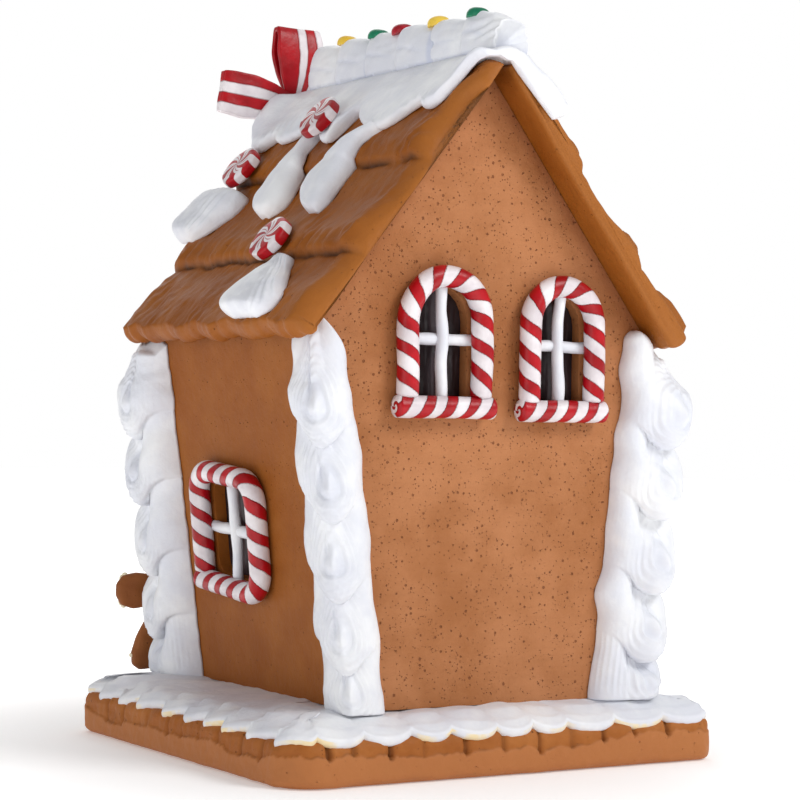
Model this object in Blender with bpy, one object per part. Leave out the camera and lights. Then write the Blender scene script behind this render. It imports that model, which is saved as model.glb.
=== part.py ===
"""A gingerbread house decoration modelled in clay dough, with its iced base.

Four walls stand on an iced slab under two roof panels laid in three overlapping courses.
Icing swirls run down the corners and along the ridge, striped candy ropes frame the windows.
Origin: centre of the slab's underside.  -Y: gable with two arched windows.  +Z: up.
Lengths below are in millimetres; shapes are written to Blender in metres.
"""
import math

import bpy
import bmesh

MM = 0.001
GAP = 0.3                  # clearance between pieces that touch

# Base
BASE_HALF = (101.0, 95.0)  # half length along x and y
BASE_CORNERS = (10.0, 8.0, 17.0, 9.0)  # corner radii in plan: +X+Y, -X+Y, -X-Y, +X-Y
BASE_HEIGHT = 17.5
NOTCH_PITCH = 10.2         # tool marks pressed round the upper half of the edge
NOTCH_DEPTH = 1.6
ICING_TOP = 25.0           # upper face of the icing sheet on the base
ICING_INSET = 2.6

# Walls
WALL_BASE_HALF = 61.0      # half width of the house at the icing
WALL_FLARE = 0.12          # each side wall leans out by this much per mm of height
WALL_LEAN = -0.0214        # the whole house leans a little towards -X
WALL_Y = 75.0              # outer face of the gables
WALL_THICK = 5.0
PANE_THICK = 1.5

# Roof
EAVE_Z = 166.0
RIDGE_Z = 277.7            # where the undersides of the two panels would meet
HALF_RUN = 0.767           # horizontal run of the slope per mm of drop
ROOF_Y = (-90.0, 82.0)
RIDGE_X = (-6.5, 0.0)      # the ridge runs slightly askew: its x at either end
# Rounding along the rakes of each panel: distance from the rake, loss of thickness
RAKE_ROUND = {-1: ((0.0, 4.2), (3.0, 1.3), (8.0, 0.0)), 1: ((0.0, 2.6), (2.0, 0.8), (6.0, 0.0))}

# Windows in a gable: centre x, half width, sill z and top z of the rope's centre line
GABLE_WINDOWS = ((-26.1, 17.0, 142.8, 193.9), (29.6, 15.7, 141.8, 192.1))
ROPE_RADIUS = 4.4
SILL_OVERHANG = 5.4
# Window in a side wall: centre y and z, half width, half height, corner radius, tilt
SIDE_WINDOW = (5.5, 90.5, 24.2, 23.3, 10.0, math.radians(4.0))
HOLE_CLEAR = 4.1           # the hole's edge lies this far inside the rope's centre line
MUNTIN = 3.8

# Toppings
MINT_RADIUS = 10.1
MINT_THICK = 5.5
CANDY_RADIUS = 4.8
SWIRL_HALF = 8.6           # half width of the swirl on the ridge
SWIRL_SHIFT = 2.6          # it sits a little to the right of the ridge
SWIRL_Y = (-88.0, 72.0)
SWIRL_LOBES = 6
RIBBON_THICK = 2.2

COLOURS = {
    "gingerbread": (0.36, 0.15, 0.045, 1.0),
    "icing": (0.86, 0.85, 0.86, 1.0),
    "candy_red": (0.62, 0.01, 0.02, 1.0),
    "candy_yellow": (0.86, 0.62, 0.06, 1.0),
    "candy_green": (0.01, 0.27, 0.12, 1.0),
    "dark_glass": (0.02, 0.015, 0.018, 1.0),
}
ROUGHNESS = {"gingerbread": 0.62, "icing": 0.5, "dark_glass": 0.12}
CANDY_ROUGHNESS = 0.35


# ---------------------------------------------------------------- helpers
def clear_scene():
    for thing in list(bpy.data.objects):
        bpy.data.objects.remove(thing, do_unlink=True)


def material(name):
    found = bpy.data.materials.get(name)
    if found:
        return found
    made = bpy.data.materials.new(name)
    made.use_nodes = True
    shader = made.node_tree.nodes["Principled BSDF"]
    shader.inputs["Base Color"].default_value = COLOURS[name]
    shader.inputs["Roughness"].default_value = ROUGHNESS.get(name, CANDY_ROUGHNESS)
    shader.inputs["Metallic"].default_value = 0.0
    return made


def add_object(name, data, paint):
    thing = bpy.data.objects.new(name, data)
    bpy.context.scene.collection.objects.link(thing)
    if paint:
        data.materials.append(material(paint))
    return thing


def add_mesh(name, points, faces, paint, smooth=False):
    """One closed body from points in millimetres, with its faces pointing out."""
    mesh = bpy.data.meshes.new(name)
    mesh.from_pydata([tuple(c * MM for c in p) for p in points], [], faces)
    work = bmesh.new()
    work.from_mesh(mesh)
    bmesh.ops.recalc_face_normals(work, faces=work.faces)
    work.to_mesh(mesh)
    work.free()
    if smooth:
        mesh.shade_smooth()
        mesh.set_sharp_from_angle(angle=math.radians(50))
    return add_object(name, mesh, paint)


def loft(name, rings, paint, smooth=True):
    """Join rings of equal length into one solid; each end is closed by a fan."""
    count = len(rings[0])
    points = [p for ring in rings for p in ring]
    faces = []
    for level in range(len(rings) - 1):
        for i in range(count):
            j = (i + 1) % count
            faces.append((level * count + i, level * count + j,
                          (level + 1) * count + j, (level + 1) * count + i))
    for level in (0, len(rings) - 1):
        centre = tuple(sum(p[axis] for p in rings[level]) / count for axis in range(3))
        points.append(centre)
        hub = len(points) - 1
        for i in range(count):
            faces.append((level * count + i, level * count + (i + 1) % count, hub))
    return add_mesh(name, points, faces, paint, smooth)


def extrude_outline(name, front, back, paint):
    """A plate between two outlines with the same number of points."""
    count = len(front)
    faces = [tuple(range(count)), tuple(range(2 * count - 1, count - 1, -1))]
    faces += [(i, (i + 1) % count, count + (i + 1) % count, count + i) for i in range(count)]
    return add_mesh(name, list(front) + list(back), faces, paint)


def tube(name, path, radius, paint):
    """A round rope along a path, as a curve with a bevel and filled caps."""
    curve = bpy.data.curves.new(name, "CURVE")
    curve.dimensions = "3D"
    curve.bevel_depth = radius * MM
    curve.bevel_resolution = 2
    curve.use_fill_caps = True
    spline = curve.splines.new("POLY")
    spline.points.add(len(path) - 1)
    for knot, place in zip(spline.points, path):
        knot.co = (place[0] * MM, place[1] * MM, place[2] * MM, 1.0)
    return add_object(name, curve, paint)


def cut(target, cutter):
    """Take the cutter out of the target; the cutter itself isn't part of the model."""
    cutter.hide_render = True
    cutter.display_type = "WIRE"
    hole = target.modifiers.new(cutter.name, "BOOLEAN")
    hole.operation = "DIFFERENCE"
    hole.object = cutter


def blend(table, at):
    """Read a value from a short table of (place, value) pairs, in straight runs."""
    for (a, va), (b, vb) in zip(table, table[1:]):
        if at <= b:
            return va + (vb - va) * max(0.0, (at - a) / (b - a))
    return table[-1][1]


def rounded_rectangle(half_x, half_y, radii, step):
    """Points round a rectangle with round corners, anticlockwise from the +X side."""
    path = []
    corners = ((1, 1, 0), (-1, 1, 90), (-1, -1, 180), (1, -1, 270))
    for index, (sx, sy, start) in enumerate(corners):
        radius = radii[index]
        following = radii[(index + 1) % 4]
        centre = (sx * (half_x - radius), sy * (half_y - radius))
        turns = max(3, round(radius * math.pi / 2 / step))
        for turn in range(turns + 1):
            angle = math.radians(start + 90 * turn / turns)
            path.append((centre[0] + radius * math.cos(angle), centre[1] + radius * math.sin(angle)))
        sx2, sy2, _ = corners[(index + 1) % 4]
        after = math.radians(start + 90)
        goal = (sx2 * (half_x - following) + following * math.cos(after),
                sy2 * (half_y - following) + following * math.sin(after))
        span = math.dist(path[-1], goal)
        pieces = max(1, round(span / step))
        here = path[-1]
        for piece in range(1, pieces):
            t = piece / pieces
            path.append((here[0] + (goal[0] - here[0]) * t, here[1] + (goal[1] - here[1]) * t))
    return path


def scaled_ring(path, inset, z):
    """The plan outline pulled in by `inset` towards the middle, at height z."""
    ring = []
    for (x, y), pull in zip(path, inset):
        reach = math.hypot(x, y)
        keep = 1.0 - pull / reach
        ring.append((x * keep, y * keep, z))
    return ring


# ---------------------------------------------------------------- surfaces that pieces share
def wall_x(side, z):
    """Outer face of a side wall: side is -1 for the left wall and 1 for the right."""
    rise = z - ICING_TOP
    return side * (WALL_BASE_HALF + WALL_FLARE * rise) + WALL_LEAN * rise


def ridge_x(y):
    return RIDGE_X[0] + (RIDGE_X[1] - RIDGE_X[0]) * (y - ROOF_Y[0]) / (ROOF_Y[1] - ROOF_Y[0])


SLOPE = math.atan2(1.0, HALF_RUN)
DOWN = (math.cos(SLOPE), -math.sin(SLOPE))   # down the slope, away from the ridge
OUT = (math.sin(SLOPE), math.cos(SLOPE))     # square to the slope, upwards
SLOPE_LENGTH = (RIDGE_Z - EAVE_Z) / math.sin(SLOPE)

# Upper face of a panel in three courses: distance down the slope, height above the underside.
# The right panel is the thicker one.
COURSES = {
    -1: ((0.0, 4.0), (46.0, 9.8), (52.5, 8.8), (54.5, 5.6), (74.0, 6.4), (91.0, 9.9),
         (99.5, 9.6), (102.5, 6.4), (124.0, 10.0), (134.0, 10.4)),
    1: ((0.0, 4.0), (40.0, 9.0), (48.0, 10.3), (52.7, 9.2), (54.9, 5.9), (66.0, 5.9), (80.0, 6.9),
        (90.0, 9.7), (97.0, 10.9), (102.8, 7.0), (114.0, 8.9), (124.5, 11.4), (134.0, 13.0)),
}


def roof_point(side, y, down, out):
    """A point on or above a panel, from its distance down the slope and out from the underside."""
    run = DOWN[0] * down + OUT[0] * out
    return (ridge_x(y) + side * run, y, RIDGE_Z + DOWN[1] * down + OUT[1] * out)


def course_top(side, down):
    return blend(COURSES[side], down)


def underside_z(side, x, y):
    return RIDGE_Z - side * (x - ridge_x(y)) / HALF_RUN


# ---------------------------------------------------------------- base
def make_base():
    """The gingerbread slab: round edge, with tool marks round its upper half."""
    path = rounded_rectangle(BASE_HALF[0], BASE_HALF[1], BASE_CORNERS, NOTCH_PITCH / 2)
    notch = [NOTCH_DEPTH if i % 2 else 0.0 for i in range(len(path))]
    plain = [0.0] * len(path)
    rings = [
        scaled_ring(path, [2.6 + n for n in plain], 0.0),
        scaled_ring(path, plain, 3.5),
        scaled_ring(path, [0.2 + n for n in notch], 10.0),
        scaled_ring(path, [0.8 + n for n in notch], 14.5),
        scaled_ring(path, [4.5 + n for n in plain], BASE_HEIGHT),
    ]
    loft("base_slab", rings, "gingerbread")


def icing_lobe(x, y):
    """How far the icing's scalloped edge draws back, from its place round the base."""
    if abs(y) > BASE_HALF[1] - 14:
        return 1.5 - 1.5 * math.cos(2 * math.pi * x / 25.0)
    return 1.3 - 1.3 * math.cos(2 * math.pi * y / 17.0)


def make_base_icing():
    """The sheet of icing over the slab, with scallops round its edge."""
    path = rounded_rectangle(BASE_HALF[0], BASE_HALF[1], BASE_CORNERS, 7.0)
    lobes = [icing_lobe(x, y) + ICING_INSET for x, y in path]
    low = BASE_HEIGHT + GAP
    rings = [
        scaled_ring(path, [n + 0.8 for n in lobes], low),
        scaled_ring(path, lobes, low + 2.4),
        scaled_ring(path, [n + 1.6 for n in lobes], low + 5.4),
        scaled_ring(path, [n + 7.0 for n in lobes], ICING_TOP),
    ]
    loft("base_icing", rings, "icing")


# ---------------------------------------------------------------- walls
def gable_outline(y):
    """Outline of a gable at depth y, up to the undersides of the roof."""
    low = ICING_TOP + GAP
    ridge_gap = GAP / math.cos(SLOPE)
    points = [(wall_x(-1, low), y, low), (wall_x(1, low), y, low)]
    for side in (1, -1):
        z = EAVE_Z
        for _ in range(20):          # where the wall meets the underside
            z = underside_z(side, wall_x(side, z), y) - ridge_gap
            z = 0.5 * (z + EAVE_Z) if z > RIDGE_Z else z
        points.append((wall_x(side, z), y, z))
        if side == 1:
            points.append((ridge_x(y), y, RIDGE_Z - ridge_gap))
    return points


def arch_path(centre, half, spring, turns):
    """Over the top of an arch, from its left springing to its right one (x, z)."""
    return [(centre - half * math.cos(math.pi * t / turns),
             spring + half * math.sin(math.pi * t / turns)) for t in range(turns + 1)]


def window_outline(window, inset):
    centre, half, sill, top = window
    reach = half - inset
    outline = arch_path(centre, reach, top - half, 10)
    return outline + [(centre + reach, sill + inset), (centre - reach, sill + inset)]


def make_gable(name, face):
    """face is -1 for the near gable and 1 for the far one."""
    outer = face * WALL_Y
    inner = face * (WALL_Y - WALL_THICK)
    wall = extrude_outline(name, gable_outline(outer), gable_outline(inner), "gingerbread")
    for index, window in enumerate(GABLE_WINDOWS):
        outline = window_outline(window, HOLE_CLEAR)
        front = [(x, face * (WALL_Y + 5), z) for x, z in outline]
        back = [(x, face * (WALL_Y - WALL_THICK - 5), z) for x, z in outline]
        cut(wall, extrude_outline(name + "_cutter_%d" % index, front, back, None))


def side_window_points(inset, turns, corner):
    """The side window's outline (y, z), tilted, starting at the foot of its +Y leg."""
    mid_y, mid_z, half_y, half_z, _, tilt = SIDE_WINDOW
    path = rounded_rectangle(half_y - inset, half_z - inset, (corner,) * 4, corner * math.pi / 2 / turns)
    cos_t, sin_t = math.cos(tilt), math.sin(tilt)
    return [(mid_y + y * cos_t - z * sin_t, mid_z + y * sin_t + z * cos_t) for y, z in path]


def on_side_wall(side, y, z, out):
    return (wall_x(side, z) + side * out, y, z)


def make_side_wall(name, side):
    low = ICING_TOP + GAP
    end = WALL_Y - WALL_THICK - GAP
    outer, inner = [], []
    for y, top in ((-end, False), (end, False), (end, True), (-end, True)):
        z = low
        if top:
            z = EAVE_Z
            for _ in range(20):
                z = underside_z(side, wall_x(side, z), y) - 2 * GAP
        outer.append(on_side_wall(side, y, z, 0.0))
        inner.append(on_side_wall(side, y, z, -WALL_THICK))
    wall = extrude_outline(name, outer, inner, "gingerbread")
    outline = side_window_points(HOLE_CLEAR, 3, SIDE_WINDOW[4] - HOLE_CLEAR)
    front = [on_side_wall(side, y, z, 6.0) for y, z in outline]
    back = [on_side_wall(side, y, z, -WALL_THICK - 6.0) for y, z in outline]
    cut(wall, extrude_outline(name + "_cutter", front, back, None))


# ---------------------------------------------------------------- windows
def make_gable_windows(place, face):
    rope_y = face * (WALL_Y + GAP + ROPE_RADIUS)
    for label, window in zip(("left", "right"), GABLE_WINDOWS):
        centre, half, sill, top = window
        foot = sill + ROPE_RADIUS + GAP
        arch = [(x, rope_y, z) for x, z in arch_path(centre, half, top - half, 9)]
        legs = [(centre - half, rope_y, foot), (centre + half, rope_y, foot)]
        tube("arch_%s_%s" % (place, label), [legs[0]] + arch + [legs[1]], ROPE_RADIUS, "candy_red")
        reach = half + SILL_OVERHANG
        sill_path = [(centre - reach, rope_y, sill), (centre + reach, rope_y, sill)]
        tube("sill_%s_%s" % (place, label), sill_path, ROPE_RADIUS, "candy_red")
        make_gable_muntin("muntin_%s_%s" % (place, label), window, face)


def cross_outline(half_wide, up, down, bar):
    """A plus sign about the origin (across, up)."""
    return ((-bar, -down), (bar, -down), (bar, -bar), (half_wide, -bar), (half_wide, bar), (bar, bar),
            (bar, up), (-bar, up), (-bar, bar), (-half_wide, bar), (-half_wide, -bar), (-bar, -bar))


def make_gable_muntin(name, window, face):
    centre, half, sill, top = window
    reach = half - HOLE_CLEAR - 2 * GAP
    middle = 0.5 * (sill + top) + 1.0
    outline = cross_outline(reach, top - HOLE_CLEAR - 1.0 - middle, middle - sill - HOLE_CLEAR - 2 * GAP,
                            MUNTIN / 2)
    outer, inner = face * (WALL_Y - 0.2), face * (WALL_Y - 0.2 - MUNTIN)
    extrude_outline(name, [(centre + a, outer, middle + b) for a, b in outline],
                    [(centre + a, inner, middle + b) for a, b in outline], "icing")


def side_rope_path():
    """One rope: up from the foot of the +Y leg, over the top, down, and back under that leg."""
    mid_y, mid_z, half_y, half_z, corner, tilt = SIDE_WINDOW
    path = [(half_y, -half_z + ROPE_RADIUS + GAP)]
    for sy, sz, start in ((1, 1, 0), (-1, 1, 90), (-1, -1, 180)):
        for turn in range(5):
            angle = math.radians(start + 90 * turn / 4)
            path.append((sy * (half_y - corner) + corner * math.cos(angle),
                         sz * (half_z - corner) + corner * math.sin(angle)))
    path.append((half_y + ROPE_RADIUS, -half_z))
    cos_t, sin_t = math.cos(tilt), math.sin(tilt)
    return [(mid_y + y * cos_t - z * sin_t, mid_z + y * sin_t + z * cos_t) for y, z in path]


def make_side_window(place, side):
    lift = GAP + ROPE_RADIUS * math.hypot(1.0, WALL_FLARE + abs(WALL_LEAN))
    rope = [on_side_wall(side, y, z, lift) for y, z in side_rope_path()]
    tube("frame_" + place, rope, ROPE_RADIUS, "candy_red")
    mid_y, mid_z, half_y, half_z, _, tilt = SIDE_WINDOW
    clear = HOLE_CLEAR + 2 * GAP
    outline = cross_outline(half_y - clear, half_z - clear, half_z - clear, MUNTIN / 2)
    cos_t, sin_t = math.cos(tilt), math.sin(tilt)
    turned = [(mid_y + a * cos_t - b * sin_t, mid_z + a * sin_t + b * cos_t) for a, b in outline]
    extrude_outline("muntin_" + place, [on_side_wall(side, y, z, -0.3) for y, z in turned],
                    [on_side_wall(side, y, z, -0.3 - MUNTIN) for y, z in turned], "icing")


def make_panes():
    """Dark glass behind the window holes: one strip behind each wall."""
    for place, face in (("near", -1), ("far", 1)):
        outer = face * (WALL_Y - WALL_THICK - GAP)
        inner = outer - face * PANE_THICK
        outline = ((-44.0, 139.0), (46.0, 139.0), (46.0, 192.0), (-44.0, 192.0))
        extrude_outline("pane_" + place, [(x, outer, z) for x, z in outline],
                        [(x, inner, z) for x, z in outline], "dark_glass")
    for place, side in (("left", -1), ("right", 1)):
        outline = ((-21.0, 64.0), (32.0, 64.0), (32.0, 117.0), (-21.0, 117.0))
        depth = WALL_THICK + GAP
        extrude_outline("pane_" + place, [on_side_wall(side, y, z, -depth) for y, z in outline],
                        [on_side_wall(side, y, z, -depth - PANE_THICK) for y, z in outline], "dark_glass")


# ---------------------------------------------------------------- roof
def make_roof(name, side):
    """A panel in three overlapping courses, rounded off along both rakes and the eave."""
    start = 2.4        # the panels stop short of the ridge line so that they don't meet
    full = COURSES[side][-1][1]
    nose = ((SLOPE_LENGTH - 1.5, 0.88 * full), (SLOPE_LENGTH, 0.58 * full),
            (SLOPE_LENGTH - 0.4, 0.2 * full), (SLOPE_LENGTH - 3.0, 0.0))
    profile = [(start, 0.0), (start, course_top(side, start))] + list(COURSES[side][1:]) + list(nose)
    rings = []
    near = [(ROOF_Y[0] + d, loss) for d, loss in RAKE_ROUND[side]]
    far = [(ROOF_Y[1] - d, loss) for d, loss in reversed(RAKE_ROUND[side])]
    for y, loss in near + [(-30.0, 0.0), (25.0, 0.0)] + far:
        ring = []
        for down, out in profile:
            squeezed = out - loss * out / 8.0 if out > 0 else 0.25 * loss
            ring.append(roof_point(side, y, down - 0.35 * loss * (down > 136), squeezed))
        rings.append(ring)
    extrude_rings(name, rings, "gingerbread")


def extrude_rings(name, rings, paint, hub=None):
    """Like loft, for outlines that aren't convex: each end is one face, or a fan about one corner."""
    count = len(rings[0])
    last = (len(rings) - 1) * count
    faces = []
    if hub is None:
        faces += [tuple(range(count)), tuple(last + i for i in reversed(range(count)))]
    else:
        turn = [(hub + 1 + i) % count for i in range(count - 1)]
        for i, j in zip(turn, turn[1:]):
            faces += [(hub, i, j), (last + hub, last + i, last + j)]
    for level in range(len(rings) - 1):
        for i in range(count):
            j = (i + 1) % count
            faces.append((level * count + i, level * count + j,
                          (level + 1) * count + j, (level + 1) * count + i))
    return add_mesh(name, [p for ring in rings for p in ring], faces, paint, smooth=True)


# Lower edge of the icing on the ridge: place along y, distance down the slope
DRAPE_EDGE = ((-91.5, 28.0), (-85.0, 31.5), (-77.0, 28.5), (-69.0, 25.0), (-60.0, 31.0), (-50.0, 37.5),
              (-31.0, 33.6), (-20.0, 26.0), (-7.0, 41.0), (6.0, 33.0), (20.0, 27.0), (43.0, 36.0),
              (54.0, 31.0), (64.0, 39.5), (82.8, 34.0))
DRAPE_CROWN = 6.4          # height of the icing's crown above the ridge of the undersides
SHOULDER = (7.27, 4.3)     # its shoulders: distance from the ridge and height, measured the same way


def ridge_icing_z(across):
    """Height of the icing's top near the ridge, at a distance to either side of it."""
    share = min(1.0, abs(across) / SHOULDER[0])
    return RIDGE_Z + DRAPE_CROWN + (SHOULDER[1] - DRAPE_CROWN) * share


def make_ridge_icing():
    """Icing draped over the ridge, ending in lobes of uneven length on both slopes."""
    rings = []
    for index, (y, edge) in enumerate(DRAPE_EDGE):
        thick = 3.6 if index == len(DRAPE_EDGE) - 1 else 5.0
        upper, lower = [], []
        for side in (-1, 1):
            length = edge if side < 0 else 26.0 + 0.6 * (edge - 26.0)
            top, under = [], []
            for share, plump in ((1.0, 0.35), (0.93, 0.8), (0.6, 1.0), (0.3, 0.82)):
                down = length * share
                surface = course_top(side, down) + GAP
                top.append(roof_point(side, y, down + 0.6 * (share == 1.0), surface + thick * plump))
                if share in (1.0, 0.6):
                    under.append(roof_point(side, y, down, surface))
            top.append((ridge_x(y) + side * SHOULDER[0], y, ridge_icing_z(SHOULDER[0])))
            upper.append(top)
            lower.append(under)
        crown = (ridge_x(y), y, ridge_icing_z(0.0))
        hollow = [roof_point(side, y, 1.0, course_top(side, 1.0) + GAP) for side in (1, -1)]
        rings.append(upper[0] + [crown] + upper[1][::-1] + lower[1] + hollow + lower[0][::-1])
    extrude_rings("ridge_icing", rings, "icing")


def swirl_top(y):
    """Height of the swirl's lobes, which grow towards the far end."""
    place = (y - SWIRL_Y[0]) / (SWIRL_Y[1] - SWIRL_Y[0])
    return ridge_icing_z(0.0) + 14.2 + 3.4 * place


def make_ridge_swirl():
    """A piped border along the ridge: each lobe's round head overlaps the tail of the next."""
    pitch = (SWIRL_Y[1] - SWIRL_Y[0]) / SWIRL_LOBES
    rings = []
    shape = ((0.0, 0.80), (0.3, 0.9), (0.7, 1.0), (0.92, 0.94))
    stations = [(lobe + part, swell) for lobe in range(SWIRL_LOBES) for part, swell in shape]
    stations.append((SWIRL_LOBES - 0.0, 0.72))
    for place, swell in stations:
        y = SWIRL_Y[0] + pitch * place
        end = 0.62 if place in (0.0, stations[-1][0]) else 1.0
        wide = SWIRL_HALF * swell * (0.5 + 0.5 * end)
        low = ridge_icing_z(0.0) + GAP
        rise = (swirl_top(y) - low - 1.0) * swell * end
        ring = []
        for turn in range(7):
            angle = math.pi * turn / 6
            squash = math.copysign(abs(math.cos(angle)) ** 0.6, math.cos(angle))
            ring.append((ridge_x(y) + SWIRL_SHIFT + wide * squash, y,
                         low + 1.0 + rise * abs(math.sin(angle)) ** 0.6))
        for across in (SWIRL_SHIFT - 0.8 * wide, 0.0, SWIRL_SHIFT + 0.8 * wide):
            ring.append((ridge_x(y) + across, y, ridge_icing_z(across) + GAP))
        rings.append(ring)
    extrude_rings("ridge_swirl", rings, "icing")


def make_ridge_candies():
    """Round sugar buttons in a row on top of the swirl."""
    row = ((-67.0, "candy_green"), (-36.0, "candy_yellow"), (-6.0, "candy_red"),
           (15.0, "candy_green"), (43.0, "candy_yellow"))
    for index, (y, paint) in enumerate(row, 1):
        low = swirl_top(y) + GAP
        rings = []
        for height, reach in ((0.0, 0.8), (1.2, 1.0), (2.4, 0.86), (3.4, 0.42)):
            rings.append([(ridge_x(y) + 0.4 + CANDY_RADIUS * reach * math.cos(math.pi * t / 5),
                           y + CANDY_RADIUS * reach * math.sin(math.pi * t / 5), low + height)
                          for t in range(10)])
        loft("ridge_candy_%d" % index, rings, paint)


# ---------------------------------------------------------------- toppings on the roof
# Icing drops on the left slope: name, thickness, then for each place down the slope
# the nearer and the further edge along y
DROPS = (
    ("a", 8.5, ((31.5, 13.0, 20.5), (37.0, 11.8, 21.5), (44.0, 11.5, 22.0), (50.0, 9.5, 25.0),
                (54.5, 8.5, 27.5), (63.0, 5.0, 30.5), (70.0, 2.8, 29.5), (75.5, 4.5, 24.0), (79.0, 9.0, 17.0))),
    ("b", 8.5, ((39.4, -43.0, -33.0), (44.0, -37.5, -23.5), (50.0, -36.5, -17.5), (54.5, -36.5, -14.5),
                (62.0, -36.2, -9.5), (69.0, -36.5, -12.0), (75.0, -37.5, -19.0), (80.0, -37.0, -28.0))),
    ("c", 11.0, ((61.9, 54.0, 72.0), (64.0, 50.0, 84.0), (67.0, 48.5, 90.0), (72.0, 49.5, 92.5),
                 (79.0, 54.5, 92.0), (85.0, 59.0, 89.0), (90.0, 66.0, 80.0))),
    ("d", 7.4, ((104.0, -42.5, -31.2), (109.0, -47.5, -30.0), (115.0, -54.0, -28.0), (123.0, -62.0, -24.0),
                (129.0, -65.0, -20.5), (133.0, -64.0, -24.0), (136.4, -58.0, -34.0))),
)
# Mints: place along y, distance down the slope, height of the lower face above the underside
MINTS = ((4.5, 32.5, 14.8), (64.0, 50.4, 10.3), (-23.0, 97.0, 10.6))


def make_drop(name, side, shift, thick, edges):
    """A drop of icing running down the roof, moulded to the courses beneath it."""
    widest = max(far - near for _, near, far in edges)
    nearer = [(down, near) for down, near, _ in edges]
    further = [(down, far) for down, _, far in edges]
    steps = [down for down, _ in COURSES[side] if edges[0][0] + 0.8 < down < edges[-1][0] - 0.8]
    rings = []
    for down in sorted([down for down, _ in nearer] + steps):
        near, far = blend(nearer, down), blend(further, down)
        middle, half = 0.5 * (near + far) + shift, 0.5 * (far - near)
        rise = thick * (0.25 + 0.75 * (2 * half / widest) ** 0.7)
        base = course_top(side, down) + GAP
        ring = [roof_point(side, middle - 0.93 * half, down, base),
                roof_point(side, middle + 0.93 * half, down, base)]
        for across, height in ((1.0, 0.3), (0.8, 0.76), (0.3, 1.0), (-0.3, 1.0), (-0.8, 0.76), (-1.0, 0.3)):
            ring.append(roof_point(side, middle + across * half, down, base + rise * height))
        rings.append(ring)
    loft(name, rings, "icing")


def make_mint(name, side, y, down, low):
    """A round striped mint lying on the slope."""
    rings = []
    for height, reach in ((0.0, 0.88), (1.2, 1.0), (MINT_THICK - 1.3, 1.0), (MINT_THICK, 0.86)):
        ring = []
        for turn in range(13):
            angle = 2 * math.pi * turn / 13
            ring.append(roof_point(side, y + MINT_RADIUS * reach * math.cos(angle),
                                   down + MINT_RADIUS * reach * math.sin(angle), low + height))
        rings.append(ring)
    loft(name, rings, "candy_red")


def make_roof_toppings():
    """The same drops and mints on both slopes, moved a little along the hidden one."""
    for place, side, shift in (("left", -1, 0.0), ("right", 1, -6.0)):
        for label, thick, edges in DROPS:
            make_drop("drop_%s_%s" % (place, label), side, shift, thick, edges)
        for index, (y, down, low) in enumerate(MINTS, 1):
            make_mint("mint_%s_%d" % (place, index), side, y + shift, down, low + 0.9 * (side > 0))


# ---------------------------------------------------------------- corner icing
LOBE_ENDS = (128.5, 100.0, 69.5, 42.0, ICING_TOP + GAP)   # height of each lobe's lower end
# Reach from the corner at 45 degree steps, from along the gable round to along the side wall
REACH = {
    "near_left": (12.6, 11.5, 10.0, 12.0, 9.5, 13.0, 21.0),
    "near_right": (12.6, 12.0, 11.0, 17.5, 23.0, 23.5, 21.0),
    "far_left": (12.6, 12.0, 11.0, 13.5, 13.5, 18.0, 24.0),
    "far_right": (12.6, 12.0, 11.0, 15.5, 16.0, 19.0, 24.0),
}
HELD = 150.0               # above this height the icing is squeezed to fit under the roof


def under_roof(side, x, y, z, top):
    limit = min(top, max(underside_z(side, x, y) - 1.2, EAVE_Z - 0.8))
    return z if z < HELD else HELD + (z - HELD) * (limit - HELD) / (top - HELD)


def make_corner_icing(place, side, face, top):
    """Icing down a corner of the house: lobes that hang over one another."""
    levels = [(top, 0.3), (top - 12.0, 0.46), (top - 28.0, 0.76), (138.0, 1.0), (130.0, 0.74)]
    upper = LOBE_ENDS[0]
    for index, low in enumerate(LOBE_ENDS[1:], 1):
        tall = upper - low
        size = 1.0 - 0.05 * index
        levels += [(upper - 0.1 * tall, 0.66 * size), (low + 0.45 * tall, 0.93 * size),
                   (low + 0.18 * tall, size), (low + 0.04 * tall, 0.72 * size)]
        upper = low
    levels[-1] = (LOBE_ENDS[-1], 0.62)
    corner_y = face * (WALL_Y + GAP)
    rings = []
    for level, swell in levels:
        ring = []
        for index, reach in enumerate(REACH[place]):
            turn = math.radians(45 * index)
            held = 0.35 if index in (0, len(REACH[place]) - 1) else 1.0
            out = reach * (1.0 - held * (1.0 - swell))
            across, along = -side * out * math.cos(turn), face * out * math.sin(turn)
            z = under_roof(side, wall_x(side, level) + across, corner_y + along, level, top)
            ring.append((wall_x(side, z) + side * GAP + across, corner_y + along, z))
        z = under_roof(side, wall_x(side, level), corner_y, level, top)
        ring.append((wall_x(side, z) + side * GAP, corner_y, z))
        rings.append(ring)
    extrude_rings("corner_icing_" + place, rings, "icing", hub=len(REACH["near_left"]))


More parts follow.
